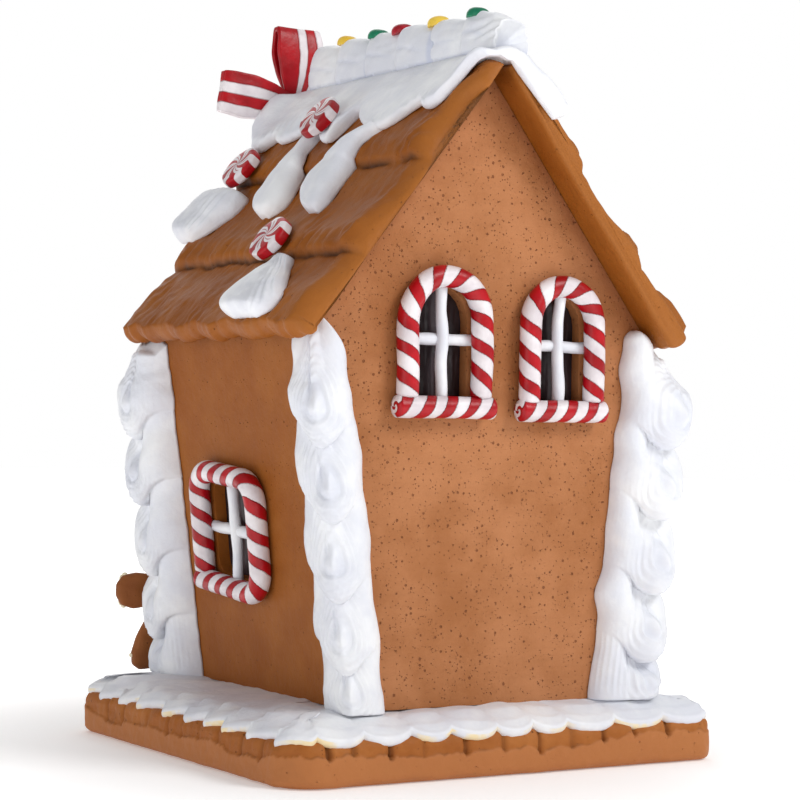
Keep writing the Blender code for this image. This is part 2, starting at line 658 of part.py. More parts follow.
# ---------------------------------------------------------------- bow and figure
def make_loop(name, base, along, across, facing, length, width, depth):
    """A ribbon loop: out from the knot on the near side, round, and back behind."""
    stations = ((0.04, -0.18, 0.55), (0.3, -0.42, 0.85), (0.65, -0.5, 1.0), (0.9, -0.38, 0.96),
                (1.0, 0.0, 0.92), (0.9, 0.38, 0.92), (0.65, 0.5, 0.95), (0.3, 0.42, 0.8), (0.04, 0.2, 0.5))
    def place(a, d, w):
        return tuple(base[i] + along[i] * a + facing[i] * d + across[i] * w for i in range(3))
    rings = []
    for index, (far, side_way, spread) in enumerate(stations):
        before = stations[max(0, index - 1)]
        after = stations[min(len(stations) - 1, index + 1)]
        step = (length * (after[0] - before[0]), depth * (after[1] - before[1]))
        size = math.hypot(*step)
        inward = (-step[1] / size * RIBBON_THICK, step[0] / size * RIBBON_THICK)
        a, d, half = length * far, depth * side_way, 0.5 * width * spread
        rings.append([place(a, d, -half), place(a, d, half),
                      place(a + inward[0], d + inward[1], half), place(a + inward[0], d + inward[1], -half)])
    extrude_rings(name, rings, "candy_red")


def make_bow():
    knot = (0.0, 88.2, 276.0)
    rings = []
    for height, reach in ((-6.5, 0.6), (-4.0, 1.0), (4.0, 1.0), (6.5, 0.6)):
        rings.append([(knot[0] + 4.5 * reach * math.cos(math.pi * t / 5),
                       knot[1] + 3.2 * reach * math.sin(math.pi * t / 5), knot[2] + height)
                      for t in range(10)])
    loft("bow_knot", rings, "candy_red")
    lean = math.radians(6)
    for name, way in (("bow_loop_left", -1), ("bow_loop_right", 1)):
        make_loop(name, (way * 5.0, knot[1], knot[2] + 2.5), (way * math.cos(lean), 0, math.sin(lean)),
                  (way * -math.sin(lean), 0, math.cos(lean)), (0, 1, 0), 36.0, 20.0, 8.4)
    make_loop("bow_loop_up", (-2.0, knot[1], knot[2] + 9.6), (0, 0, 1), (1, 0, 0), (0, 1, 0), 28.0, 23.0, 9.0)


def make_figure():
    """A gingerbread man standing on the icing by the far gable, facing away from it."""
    foot, centre, front, back = ICING_TOP + GAP, -57.5, 92.6, 87.2
    half = ((1.5, 8.0), (3.5, 0.8), (18.0, 0.0), (20.0, 3.5), (18.5, 13.0), (12.5, 24.0), (13.5, 29.0),
            (24.0, 28.5), (28.5, 33.0), (27.0, 40.0), (21.0, 42.0), (9.0, 41.5))
    right = [(x, z) for x, z in half]
    head = [(11.0 * math.cos(math.radians(a)), 53.0 + 11.0 * math.sin(math.radians(a)))
            for a in range(-50, 91, 28)]
    outline = right + head + [(-x, z) for x, z in reversed(right + head)]
    extrude_outline("gingerbread_man", [(centre + x, front, foot + z) for x, z in outline],
                    [(centre + x, back, foot + z) for x, z in outline], "gingerbread")


def main():
    clear_scene()
    make_base()
    make_base_icing()
    make_gable("wall_gable_near", -1)
    make_gable("wall_gable_far", 1)
    make_side_wall("wall_side_left", -1)
    make_side_wall("wall_side_right", 1)
    make_gable_windows("near", -1)
    make_gable_windows("far", 1)
    make_side_window("left", -1)
    make_side_window("right", 1)
    make_panes()
    make_roof("roof_left", -1)
    make_roof("roof_right", 1)
    make_ridge_icing()
    make_ridge_swirl()
    make_ridge_candies()
    make_roof_toppings()
    make_corner_icing("near_left", -1, -1, 178.0)
    make_corner_icing("near_right", 1, -1, 181.0)
    make_corner_icing("far_left", -1, 1, 178.0)
    make_corner_icing("far_right", 1, 1, 178.0)
    make_bow()
    make_figure()


main()
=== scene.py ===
import math
import bpy
import bmesh
import numpy as np
from mathutils import Matrix, Vector


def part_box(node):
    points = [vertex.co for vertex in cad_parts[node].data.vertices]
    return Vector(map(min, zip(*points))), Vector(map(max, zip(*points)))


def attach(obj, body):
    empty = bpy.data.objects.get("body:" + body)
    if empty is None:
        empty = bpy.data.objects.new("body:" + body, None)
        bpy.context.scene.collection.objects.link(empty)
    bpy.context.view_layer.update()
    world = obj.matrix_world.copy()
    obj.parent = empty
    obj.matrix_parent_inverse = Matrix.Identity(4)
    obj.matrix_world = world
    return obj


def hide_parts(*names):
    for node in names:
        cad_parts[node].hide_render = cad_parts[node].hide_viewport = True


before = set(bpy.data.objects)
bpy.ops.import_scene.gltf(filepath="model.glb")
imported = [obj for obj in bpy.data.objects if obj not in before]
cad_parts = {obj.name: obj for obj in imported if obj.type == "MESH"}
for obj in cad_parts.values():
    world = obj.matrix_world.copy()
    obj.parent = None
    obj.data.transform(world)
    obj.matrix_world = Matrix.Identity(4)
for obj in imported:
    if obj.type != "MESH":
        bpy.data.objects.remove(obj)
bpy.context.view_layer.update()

scene = bpy.context.scene
mm = 0.001


def boxOf(node):
    # lowest and highest corner of a part, in millimetres
    low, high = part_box(node)
    return np.array(low) / mm, np.array(high) / mm


# --- camera, light and floor ---
cameraSpot = dict(place=(-0.53098, -0.86907, 0.14318), yaw=31.54, pitch=0.13, roll=1.0, lens=108.3)
lightSetup = dict(
    skyCamera=1.0, skyLight=0.36,
    keyWay=(0.50, -0.92, 0.74), keyPower=10.6, keySize=0.55,
    fillWay=(-1.0, -0.35, 0.20), fillPower=4.2, fillSize=1.0,
    topWay=(0.2, 0.1, 1.0), topPower=1.6, topSize=1.2,
    backWay=(0.4, 1.0, 0.6), backPower=5.0, backSize=1.0)
aimPoint = (0.0, 0.0, 0.15)


def addCamera(spot):
    yaw, pitch, roll = (math.radians(spot[k]) for k in ("yaw", "pitch", "roll"))
    forward = Vector((math.sin(yaw) * math.cos(pitch), math.cos(yaw) * math.cos(pitch), math.sin(pitch)))
    right = Vector((math.cos(yaw), -math.sin(yaw), 0.0))
    up = right.cross(forward)
    turnedRight = right * math.cos(roll) + up * math.sin(roll)
    turnedUp = up * math.cos(roll) - right * math.sin(roll)
    camera = bpy.data.objects.new("camera", bpy.data.cameras.new("camera"))
    scene.collection.objects.link(camera)
    camera.data.sensor_width = 36.0
    camera.data.lens = spot["lens"]
    camera.data.clip_start, camera.data.clip_end = 0.05, 30.0
    rows = zip(turnedRight, turnedUp, -forward, spot["place"])
    camera.matrix_world = Matrix([list(row) for row in rows] + [[0, 0, 0, 1]])
    scene.camera = camera


def addLight(name, way, power, size, distance=1.5):
    lamp = bpy.data.lights.new(name, "AREA")
    lamp.energy, lamp.size = power, size
    holder = bpy.data.objects.new(name, lamp)
    scene.collection.objects.link(holder)
    toward = Vector(way).normalized()
    holder.location = Vector(aimPoint) + toward * distance
    holder.rotation_euler = toward.to_track_quat("Z", "Y").to_euler()


def addSky(setup):
    world = bpy.data.worlds.new("studio")
    scene.world = world
    world.use_nodes = True
    tree = world.node_tree
    tree.nodes.clear()
    path = tree.nodes.new("ShaderNodeLightPath")
    seen = tree.nodes.new("ShaderNodeBackground")
    seen.inputs["Color"].default_value = (setup["skyCamera"],) * 3 + (1,)
    lit = tree.nodes.new("ShaderNodeBackground")
    lit.inputs["Color"].default_value = (setup["skyLight"],) * 3 + (1,)
    pick = tree.nodes.new("ShaderNodeMixShader")
    out = tree.nodes.new("ShaderNodeOutputWorld")
    tree.links.new(path.outputs["Is Camera Ray"], pick.inputs[0])
    tree.links.new(lit.outputs[0], pick.inputs[1])
    tree.links.new(seen.outputs[0], pick.inputs[2])
    tree.links.new(pick.outputs[0], out.inputs[0])


def addFloor():
    mesh = bpy.data.meshes.new("floor")
    turns = [2 * math.pi * k / 96 for k in range(96)]
    mesh.from_pydata([(4 * math.cos(t), 4 * math.sin(t), -0.0004) for t in turns], [], [tuple(range(96))])
    floor = bpy.data.objects.new("floor", mesh)
    scene.collection.objects.link(floor)
    finish = bpy.data.materials.new("floorPaper")
    finish.use_nodes = True
    shader = finish.node_tree.nodes["Principled BSDF"]
    shader.inputs["Base Color"].default_value = (0.93, 0.93, 0.93, 1)
    shader.inputs["Roughness"].default_value = 0.95
    shader.inputs["Specular IOR Level"].default_value = 0.1
    # the floor brightens outwards, so that it meets the pale surroundings without an edge
    tree = finish.node_tree
    place = tree.nodes.new("ShaderNodeTexCoord")
    reach = tree.nodes.new("ShaderNodeVectorMath")
    reach.operation = "LENGTH"
    glow = tree.nodes.new("ShaderNodeMapRange")
    glow.interpolation_type = "SMOOTHSTEP"
    glow.inputs["From Min"].default_value, glow.inputs["From Max"].default_value = 0.10, 0.34
    glow.inputs["To Min"].default_value, glow.inputs["To Max"].default_value = 0.22, 0.80
    tree.links.new(place.outputs["Object"], reach.inputs[0])
    tree.links.new(reach.outputs["Value"], glow.inputs["Value"])
    tree.links.new(glow.outputs[0], shader.inputs["Emission Strength"])
    shader.inputs["Emission Color"].default_value = (1, 1, 1, 1)
    mesh.materials.append(finish)


addCamera(cameraSpot)
for light in ("key", "fill", "top", "back"):
    addLight(light, lightSetup[light + "Way"], lightSetup[light + "Power"], lightSetup[light + "Size"])
addSky(lightSetup)
addFloor()
scene.view_settings.view_transform = "Standard"
print("camera, lights and floor are set")


# --- finishes ---
def paint(red, green, eyeShade):
    # a screen colour, 0 to 255, as the linear value that shaders use
    def straight(value):
        value /= 255.0
        return value / 12.92 if value <= 0.04045 else ((value + 0.055) / 1.055) ** 2.4
    return (straight(red), straight(green), straight(eyeShade), 1.0)


class Finish:
    # a material under construction: its tree, its shader and short ways to add nodes
    def __init__(self, name, roughness):
        self.material = bpy.data.materials.new(name)
        self.material.use_nodes = True
        self.tree = self.material.node_tree
        self.shader = self.tree.nodes["Principled BSDF"]
        self.shader.inputs["Roughness"].default_value = roughness
        self.place = self.tree.nodes.new("ShaderNodeTexCoord").outputs["Object"]
        self.heights = []

    def add(self, kind, inputs, output=0, **settings):
        node = self.tree.nodes.new(kind)
        for key, value in settings.items():
            setattr(node, key, value)
        for key, value in inputs.items():
            if isinstance(value, bpy.types.NodeSocket):
                self.tree.links.new(value, node.inputs[key])
            else:
                node.inputs[key].default_value = value
        return node.outputs[output]

    def math(self, operation, first, second=0.0, third=0.0):
        return self.add("ShaderNodeMath", {0: first, 1: second, 2: third}, operation=operation)

    def stretched(self, scale, turn=(0.0, 0.0, 0.0)):
        return self.add("ShaderNodeMapping", {"Vector": self.place, "Scale": scale, "Rotation": turn})

    def noise(self, scale, detail=3.0, rough=0.55, vector=None, output=0):
        return self.add("ShaderNodeTexNoise", {"Vector": vector or self.place, "Scale": scale,
                                               "Detail": detail, "Roughness": rough}, output)

    def step(self, value, low, high, fromValue=0.0, toValue=1.0):
        return self.add("ShaderNodeMapRange", {"Value": value, "From Min": low, "From Max": high,
                                               "To Min": fromValue, "To Max": toValue},
                        interpolation_type="SMOOTHSTEP")

    def mix(self, share, first, second):
        node = self.tree.nodes.new("ShaderNodeMix")
        node.data_type = "RGBA"
        for socket, value in ((node.inputs[0], share), (node.inputs[6], first), (node.inputs[7], second)):
            if isinstance(value, bpy.types.NodeSocket):
                self.tree.links.new(value, socket)
            else:
                socket.default_value = value
        return node.outputs[2]

    def attribute(self, name, output="Fac"):
        node = self.tree.nodes.new("ShaderNodeAttribute")
        node.attribute_name = name
        return node.outputs[output]

    def relief(self, height, depth, strength=1.0):
        self.heights.append((height, depth, strength))

    def finish(self, colour, roughness=None):
        self.tree.links.new(colour, self.shader.inputs["Base Color"])
        if roughness is not None:
            self.tree.links.new(roughness, self.shader.inputs["Roughness"])
        normal = None
        for height, depth, strength in self.heights:
            inputs = {"Height": height, "Distance": depth, "Strength": strength}
            if normal is not None:
                inputs["Normal"] = normal
            normal = self.add("ShaderNodeBump", inputs)
        if normal is not None:
            self.tree.links.new(normal, self.shader.inputs["Normal"])
        return self.material


# gingerbread dough: two browns, pits of a few sizes, tool lines
doughLooks = {
    "gable": dict(light=(182, 121, 78), dark=(160, 100, 56), pit=(116, 62, 32), pitShare=2.3,
                  pitSize=0.30, lines=(7, 7, 190), lineDepth=0.00005, roughness=0.62,
                  roofShadow=(0.2777, 0.0059, 0.767)),
    # the side walls' browns are darker than the gable's, partly as a darker tone of their own and partly as painted
    # shade, as the seen side wall stands in shade
    "shadedSideWall": dict(light=(158, 94, 37), dark=(143, 79, 24), pit=(98, 52, 16), pitShare=0.5,
                     pitSize=0.22, lines=(9, 60, 90), lineDepth=0.00005, roughness=0.62),
    "roof": dict(light=(158, 92, 30), dark=(140, 75, 14), pit=(86, 42, 8), pitShare=0.12,
                 pitSize=0.22, lines=(9, 130, 9), lineDepth=0.00016, roughness=0.54),
    "slab": dict(light=(178, 110, 52), dark=(158, 90, 34), pit=(108, 56, 20), pitShare=0.22,
                 pitSize=0.24, lines=(40, 40, 60), lineDepth=0.00010, roughness=0.58),
    "cookie": dict(light=(152, 92, 48), dark=(128, 70, 32), pit=(84, 42, 18), pitShare=0.16,
                   pitSize=0.22, lines=(40, 40, 40), lineDepth=0.00010, roughness=0.56),
}


def makeDough(name, looks):
    dough = Finish(name + "Dough", looks["roughness"])
    dough.shader.inputs["Specular IOR Level"].default_value = 0.22
    broad = dough.noise(16.0, 4.0, 0.6)
    cloud = dough.noise(70.0, 3.0, 0.6)
    tone = dough.math("MULTIPLY_ADD", cloud, 0.45, dough.math("MULTIPLY", broad, 0.75))
    colour = dough.mix(dough.step(tone, 0.42, 0.80), paint(*looks["dark"]), paint(*looks["light"]))
    streak = dough.noise(1.0, 4.0, 0.6, dough.stretched(looks["lines"]))
    colour = dough.mix(dough.step(streak, 0.30, 0.62, 0.07, 0.0), colour, paint(*looks["pit"]))
    if "roofShadow" in looks:       # painted shadow: the gable darkens towards the pit brown close under the roof's overhang
        peak, aside, run = looks["roofShadow"]
        x, y, z = dough.add("ShaderNodeSeparateXYZ", {0: dough.place}).node.outputs
        across = dough.math("DIVIDE", dough.math("ABSOLUTE", dough.math("ADD", x, aside)), run)
        below = dough.math("SUBTRACT", dough.math("SUBTRACT", peak, z), across)
        below = dough.math("MULTIPLY_ADD", dough.noise(55.0, 2.0), 0.006, below)
        colour = dough.mix(dough.step(below, 0.002, 0.017, 0.60, 0.0), colour, paint(*looks["pit"]))
    patches = dough.noise(38.0, 2.0, 0.5)
    holes = None
    for scale, size in ((430.0, 1.0), (860.0, 1.0)):
        cell = dough.tree.nodes.new("ShaderNodeTexVoronoi")
        cell.inputs["Scale"].default_value = scale
        dough.tree.links.new(dough.place, cell.inputs["Vector"])
        luck = dough.add("ShaderNodeSeparateColor", {"Color": cell.outputs["Color"]})
        # a cell has a pit when its luck is under the share that the patch allows
        allowed = dough.step(patches, 0.30, 0.66, 0.12 * looks["pitShare"], 0.62 * looks["pitShare"])
        open_ = dough.math("LESS_THAN", luck, allowed)
        reach = dough.math("MULTIPLY_ADD", luck, -0.26, looks["pitSize"] * size)
        wobble = dough.math("MULTIPLY_ADD", dough.noise(900.0, 1.0), 0.22, cell.outputs["Distance"])
        away = dough.math("SUBTRACT", wobble, dough.math("ADD", reach, 0.06))
        hole = dough.math("MULTIPLY", dough.step(away, -0.10, 0.04, 1.0, 0.0), open_)
        holes = hole if holes is None else dough.math("MAXIMUM", holes, hole)
    colour = dough.mix(dough.math("MULTIPLY", holes, 0.72), colour, paint(*looks["pit"]))
    shade = dough.attribute("crack")
    colour = dough.mix(dough.math("MULTIPLY", shade, 0.9), colour, paint(*[c * 0.5 for c in looks["pit"]]))
    # a paler band: on the slab its smooth lower band, on the roof a painted highlight along both rakes, where the
    # rake faces catch the light
    glow = dough.attribute("smoothBand")
    lighter = paint(*[min(255, c * f) for c, f in zip(looks["light"], (1.04, 1.08, 1.35))])
    colour = dough.mix(dough.math("MULTIPLY", glow, 0.75), colour, lighter)
    fine = dough.noise(420.0, 5.0, 0.7)
    dough.relief(dough.noise(90.0, 4.0, 0.6), 0.0007)
    dough.relief(streak, looks["lineDepth"] * 3)
    dough.relief(fine, 0.00022)
    dough.relief(dough.math("MULTIPLY", holes, -1.0), 0.0005)
    rough = dough.math("MULTIPLY_ADD", fine, 0.22, looks["roughness"] - 0.11)
    return dough.finish(colour, rough)


doughs = {name: makeDough(name, looks) for name, looks in doughLooks.items()}

icingLooks = dict(white=(240, 241, 243), hollow=(222, 224, 232), stain=(244, 226, 182), roughness=0.47)


def makeIcing(name, looks):
    icing = Finish(name, looks["roughness"])
    cloud = icing.noise(42.0, 4.0, 0.6)
    colour = icing.mix(icing.step(cloud, 0.35, 0.72), paint(*looks["hollow"]), paint(*looks["white"]))
    speck = icing.noise(520.0, 2.0, 0.5)
    colour = icing.mix(icing.step(speck, 0.70, 0.80, 0.0, 0.16), colour, paint(206, 200, 200))
    # painted shade: the 'hollow' attribute turns the icing bluish grey in the border's seams and creases and round
    # the columns' eyes
    hollow = icing.attribute("hollow")
    colour = icing.mix(icing.math("MULTIPLY", hollow, 0.85), colour, paint(196, 202, 222))
    stain = icing.math("MULTIPLY", icing.attribute("stain"), icing.step(icing.noise(95.0, 3.0), 0.42, 0.60))
    colour = icing.mix(stain, colour, paint(*looks["stain"]))
    icing.relief(icing.noise(60.0, 4.0, 0.55), 0.0007)
    icing.relief(icing.noise(300.0, 4.0, 0.6), 0.00022)
    icing.relief(icing.noise(1.0, 3.0, 0.5, icing.stretched((260, 260, 40))), 0.00012)
    rough = icing.math("MULTIPLY_ADD", icing.noise(150.0, 3.0), 0.20, looks["roughness"] - 0.10)
    return icing.finish(colour, rough)


icingFinish = makeIcing("whiteIcing", icingLooks)
creamFinish = makeIcing("creamIcing", dict(icingLooks, white=(240, 231, 205), hollow=(228, 214, 180)))

candyLooks = dict(red=(186, 10, 26), deepRed=(150, 3, 14), white=(238, 232, 234), shadow=(214, 204, 208),
                  roughness=0.36, coat=0.06, coatRoughness=0.25)


def candyBase(name, looks):
    candy = Finish(name, looks["roughness"])
    candy.shader.inputs["Specular IOR Level"].default_value = 0.30
    candy.shader.inputs["Coat Weight"].default_value = looks["coat"]
    candy.shader.inputs["Coat Roughness"].default_value = looks["coatRoughness"]
    candy.relief(candy.noise(120.0, 3.0), 0.0004)
    candy.relief(candy.noise(620.0, 3.0), 0.00010)
    cloud = candy.noise(85.0, 3.0)
    candy.red = candy.mix(candy.step(cloud, 0.3, 0.7), paint(*looks["deepRed"]), paint(*looks["red"]))
    candy.white = candy.mix(candy.step(cloud, 0.3, 0.7), paint(*looks["shadow"]), paint(*looks["white"]))
    candy.edge = paint(140, 30, 40)
    return candy


def makeRopeStripes(name, looks, pitch, redShare, starts, shift):
    # the rope's "wrap" attribute holds the cosine and sine round it and the millimetres along it
    rope = candyBase(name, looks)
    wrap = rope.add("ShaderNodeSeparateXYZ", {0: rope.attribute("wrap", "Vector")}).node
    cosine, sine, along = wrap.outputs
    turn = rope.math("DIVIDE", rope.math("ARCTAN2", sine, cosine), 2 * math.pi)
    reach = rope.math("SQRT", rope.math("ADD", rope.math("MULTIPLY", cosine, cosine),
                                        rope.math("MULTIPLY", sine, sine)))
    swirl = rope.math("MULTIPLY", rope.math("SUBTRACT", 1.0, reach), 0.9)
    sway = rope.math("MULTIPLY_ADD", rope.noise(60.0, 2.0), 0.34, shift - 0.17)
    phase = rope.math("MULTIPLY_ADD", along, 1.0 / pitch, rope.math("MULTIPLY", turn, starts))
    phase = rope.math("FRACT", rope.math("ADD", rope.math("ADD", phase, swirl), sway))
    middle = rope.math("ABSOLUTE", rope.math("SUBTRACT", phase, 0.5))
    isRed = rope.step(middle, 0.5 * redShare - 0.012, 0.5 * redShare + 0.012, 1.0, 0.0)
    border = rope.step(rope.math("ABSOLUTE", rope.math("SUBTRACT", middle, 0.5 * redShare)), 0.0, 0.035,
                       1.0, 0.0)
    colour = rope.mix(isRed, rope.white, rope.red)
    colour = rope.mix(rope.math("MULTIPLY", border, 0.22), colour, rope.edge)
    rope.relief(rope.math("MULTIPLY", border, -1.0), 0.00035)
    rope.relief(isRed, 0.00015)
    return rope.finish(colour)


def makeRibbonStripes(name, looks, borders):
    # the ribbon's "across" attribute runs from -1 to 1 over its width; borders part red from white in turn
    ribbon = candyBase(name, looks)
    sway = ribbon.math("MULTIPLY_ADD", ribbon.noise(70.0, 2.0), 0.20, -0.10)
    across = ribbon.math("ADD", ribbon.attribute("across"), sway)
    isRed, edge = None, None
    for at, redAfter in borders:
        near = ribbon.step(across, at - 0.02, at + 0.02)
        line = ribbon.step(ribbon.math("ABSOLUTE", ribbon.math("SUBTRACT", across, at)), 0.0, 0.05, 1.0, 0.0)
        if isRed is None:
            isRed = near if redAfter else ribbon.math("SUBTRACT", 1.0, near)
            edge = line
        else:
            flipped = near if redAfter else ribbon.math("SUBTRACT", 1.0, near)
            isRed = ribbon.math("MAXIMUM" if redAfter else "MINIMUM", isRed, flipped)
            edge = ribbon.math("MAXIMUM", edge, line)
    colour = ribbon.mix(isRed, ribbon.white, ribbon.red)
    colour = ribbon.mix(ribbon.math("MULTIPLY", edge, 0.45), colour, ribbon.edge)
    ribbon.relief(ribbon.math("MULTIPLY", edge, -1.0), 0.0003)
    return ribbon.finish(colour)


def makeMintStripes(name, looks, wedges):
    # the mint's "wheel" attribute is the place on its disc, 1 at the rim, and the height
    mint = candyBase(name, looks)
    wheel = mint.add("ShaderNodeSeparateXYZ", {0: mint.attribute("wheel", "Vector")}).node
    east, north, height = wheel.outputs
    reach = mint.math("SQRT", mint.math("ADD", mint.math("MULTIPLY", east, east),
                                        mint.math("MULTIPLY", north, north)))
    turn = mint.math("DIVIDE", mint.math("ARCTAN2", north, east), 2 * math.pi)
    # wedges bend back at the shoulder, which gives the rim its chevrons
    bend = mint.math("MULTIPLY", mint.math("ABSOLUTE", mint.math("SUBTRACT", reach, 0.78)), 0.16)
    round_ = mint.math("ADD", turn, bend)
    wide = mint.math("ABSOLUTE", mint.math("SUBTRACT", mint.math("FRACT", mint.math(
        "MULTIPLY", round_, wedges)), 0.5))
    share = mint.step(reach, 0.0, 0.95, 0.12, 0.27)
    red = mint.step(mint.math("SUBTRACT", wide, share), -0.015, 0.015, 1.0, 0.0)
    thin = mint.math("ABSOLUTE", mint.math("SUBTRACT", mint.math("FRACT", mint.math(
        "MULTIPLY_ADD", round_, wedges * 3.0, 0.5)), 0.5))
    fine = mint.math("MULTIPLY", mint.step(thin, 0.10, 0.16, 1.0, 0.0), mint.step(reach, 0.60, 0.80, 1.0, 0.0))
    red = mint.math("MAXIMUM", red, mint.math("MULTIPLY", fine, 0.85))
    colour = mint.mix(red, mint.white, mint.red)
    mint.relief(red, 0.00022)
    return mint.finish(colour)


def makeButton(name, light, dark):
    button = candyBase(name, candyLooks)
    cloud = button.noise(180.0, 3.0)
    return button.finish(button.mix(button.step(cloud, 0.3, 0.7), paint(*dark), paint(*light)))


def makePaneFilm(looks):
    film = Finish("darkPane", looks["roughness"])
    wave = film.noise(1.0, 3.0, 0.5, film.stretched((90, 90, 9)))
    # painted reflection: soft vertical streaks of a paler colour stand in for the reflections on the dark pane
    colour = film.mix(film.step(wave, 0.45, 0.78), paint(*looks["dark"]), paint(*looks["paintedReflection"]))
    film.relief(wave, 0.004)
    film.relief(film.noise(160.0, 2.0), 0.0006)
    rough = film.math("MULTIPLY_ADD", film.noise(55.0, 2.0), 0.25, looks["roughness"] - 0.1)
    return film.finish(colour, rough)


paneFinish = makePaneFilm(dict(dark=(40, 27, 30), paintedReflection=(88, 74, 82), roughness=0.30))
ropeFinish = makeRopeStripes("archStripes", candyLooks, 11.3, 0.46, 1.5, 0.0)
sillFinish = makeRopeStripes("sillStripes", candyLooks, 10.4, 0.48, 1.5, 0.3)
frameFinish = makeRopeStripes("frameStripes", candyLooks, 10.8, 0.45, 1.5, 0.0)
mintFinish = makeMintStripes("mintWheel", candyLooks, 6.0)
buttonFinishes = {
    "candy_red": makeButton("redButton", (178, 26, 44), (150, 12, 28)),
    "candy_yellow": makeButton("yellowButton", (238, 202, 78), (224, 180, 52)),
    "candy_green": makeButton("greenButton", (24, 138, 98), (14, 108, 78)),
}
sideRibbon = makeRibbonStripes("sideRibbon", candyLooks, ((-0.46, False), (0.04, True), (0.55, False)))
upRibbon = makeRibbonStripes("upRibbon", candyLooks, ((-0.10, False), (0.28, True), (0.68, False)))
knotRibbon = makeRibbonStripes("knotRibbon", candyLooks, ((-0.4, False), (0.4, True)))
print("finishes are mixed")


# --- shaping tools ---
def uneven(points, size, seed):
    # a smooth uneven field between about -1 and 1; size is its wavelength in millimetres
    luck = np.random.default_rng(seed)
    total = np.zeros(np.shape(points)[:-1])
    for _ in range(7):
        way = luck.normal(size=np.shape(points)[-1])
        way *= luck.uniform(0.65, 1.5) * 2 * np.pi / size / np.linalg.norm(way)
        total = total + np.sin(points @ way + luck.uniform(0, 6.28))
    return total / 3.0


def unevenLine(along, size, seed):
    return uneven(np.stack([along, 0.37 * along + 11.0], axis=-1), size, seed)


def smoothRun(table, at):
    # a smooth curve through (place, value) pairs
    places, values = np.array(table, float).T
    steps = np.diff(values) / np.diff(places)
    slopes = np.concatenate([[steps[0]], 0.5 * (steps[1:] + steps[:-1]), [steps[-1]]])
    inner = steps[1:] * steps[:-1]
    slopes[1:-1] = np.where(inner <= 0, 0.0, slopes[1:-1])
    which = np.clip(np.searchsorted(places, at) - 1, 0, len(places) - 2)
    width = places[which + 1] - places[which]
    t = np.clip((at - places[which]) / width, 0.0, 1.0)
    first = (2 * t ** 3 - 3 * t ** 2 + 1) * values[which] + (3 * t ** 2 - 2 * t ** 3) * values[which + 1]
    return first + width * ((t ** 3 - 2 * t ** 2 + t) * slopes[which] + (t ** 3 - t ** 2) * slopes[which + 1])


def softStep(value, low, high):
    t = np.clip((value - low) / (high - low), 0.0, 1.0)
    return t * t * (3 - 2 * t)


def bell(value, width):
    return np.exp(-(value / width) ** 2)


class Shells:
    # collects closed skins, each a grid of rings, into one mesh
    def __init__(self):
        self.points, self.faces, self.fields, self.count = [], [], {}, 0

    def add(self, rings, fields=None, fan=False):
        rows, columns = rings.shape[:2]
        number = np.arange(rows * columns).reshape(rows, columns) + self.count
        after = np.roll(number, -1, axis=1)
        quads = np.stack([number[:-1], after[:-1], after[1:], number[1:]], axis=-1).reshape(-1, 4)
        self.faces += quads.tolist()
        points = rings.reshape(-1, 3)
        values = {k: np.asarray(v, float).reshape(-1) for k, v in (fields or {}).items()}
        if fan:
            hubs = np.stack([rings[0].mean(0), rings[-1].mean(0)])
            for hub, ring in ((self.count + rows * columns, number[0]),
                              (self.count + rows * columns + 1, number[-1])):
                nextOnes = np.roll(ring, -1)
                self.faces += [(int(a), int(b), hub) for a, b in zip(ring, nextOnes)]
            points = np.concatenate([points, hubs])
            values = {k: np.concatenate([v, [v[:columns].mean(), v[-columns:].mean()]])
                      for k, v in values.items()}
        else:
            self.faces += [tuple(number[0][::-1].tolist()), tuple(number[-1].tolist())]
        self.points.append(points)
        for key in set(self.fields) | set(values):
            old = self.fields.setdefault(key, [np.zeros(self.count)])
            old.append(values.get(key, np.zeros(len(points))))
        self.count += len(points)

    def build(self, name, finish):
        mesh = bpy.data.meshes.new(name)
        mesh.from_pydata((np.concatenate(self.points) * mm).tolist(), [], self.faces)
        for key, values in self.fields.items():
            attribute = mesh.attributes.new(key, "FLOAT", "POINT")
            attribute.data.foreach_set("value", np.concatenate(values).astype(np.float32))
        work = bmesh.new()
        work.from_mesh(mesh)
        bmesh.ops.recalc_face_normals(work, faces=work.faces)
        work.to_mesh(mesh)
        work.free()
        mesh.shade_smooth()
        mesh.materials.append(finish)
        piece = bpy.data.objects.new(name, mesh)
        scene.collection.objects.link(piece)
        return piece


def mount(piece, slot, *nodes):
    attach(piece, "root")
    if nodes:
        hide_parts(*nodes)
    return piece


# --- the house's own measures, in millimetres, as its frame was cut ---
house = dict(wallBase=61.0, flare=0.12, lean=-0.0214, wallY=75.0, eaveZ=166.0, ridgeZ=277.7, run=0.767,
             roofY=(-90.0, 82.0), ridgeX=(-6.5, 0.0), icingTop=25.0, gap=0.3, rope=4.4)
slopeAngle = math.atan2(1.0, house["run"])
downWay = (math.cos(slopeAngle), -math.sin(slopeAngle))
outWay = (math.sin(slopeAngle), math.cos(slopeAngle))
slopeLength = (house["ridgeZ"] - house["eaveZ"]) / math.sin(slopeAngle)
courses = {
    -1: ((0.0, 4.0), (46.0, 9.8), (52.5, 8.8), (54.5, 5.6), (74.0, 6.4), (91.0, 9.9),
         (99.5, 9.6), (102.5, 6.4), (124.0, 10.0), (134.0, 10.4)),
    1: ((0.0, 4.0), (40.0, 9.0), (48.0, 10.3), (52.7, 9.2), (54.9, 5.9), (66.0, 5.9), (80.0, 6.9),
        (90.0, 9.7), (97.0, 10.9), (102.8, 7.0), (114.0, 8.9), (124.5, 11.4), (134.0, 13.0)),
}


def wallX(side, z):
    rise = z - house["icingTop"]
    return side * (house["wallBase"] + house["flare"] * rise) + house["lean"] * rise


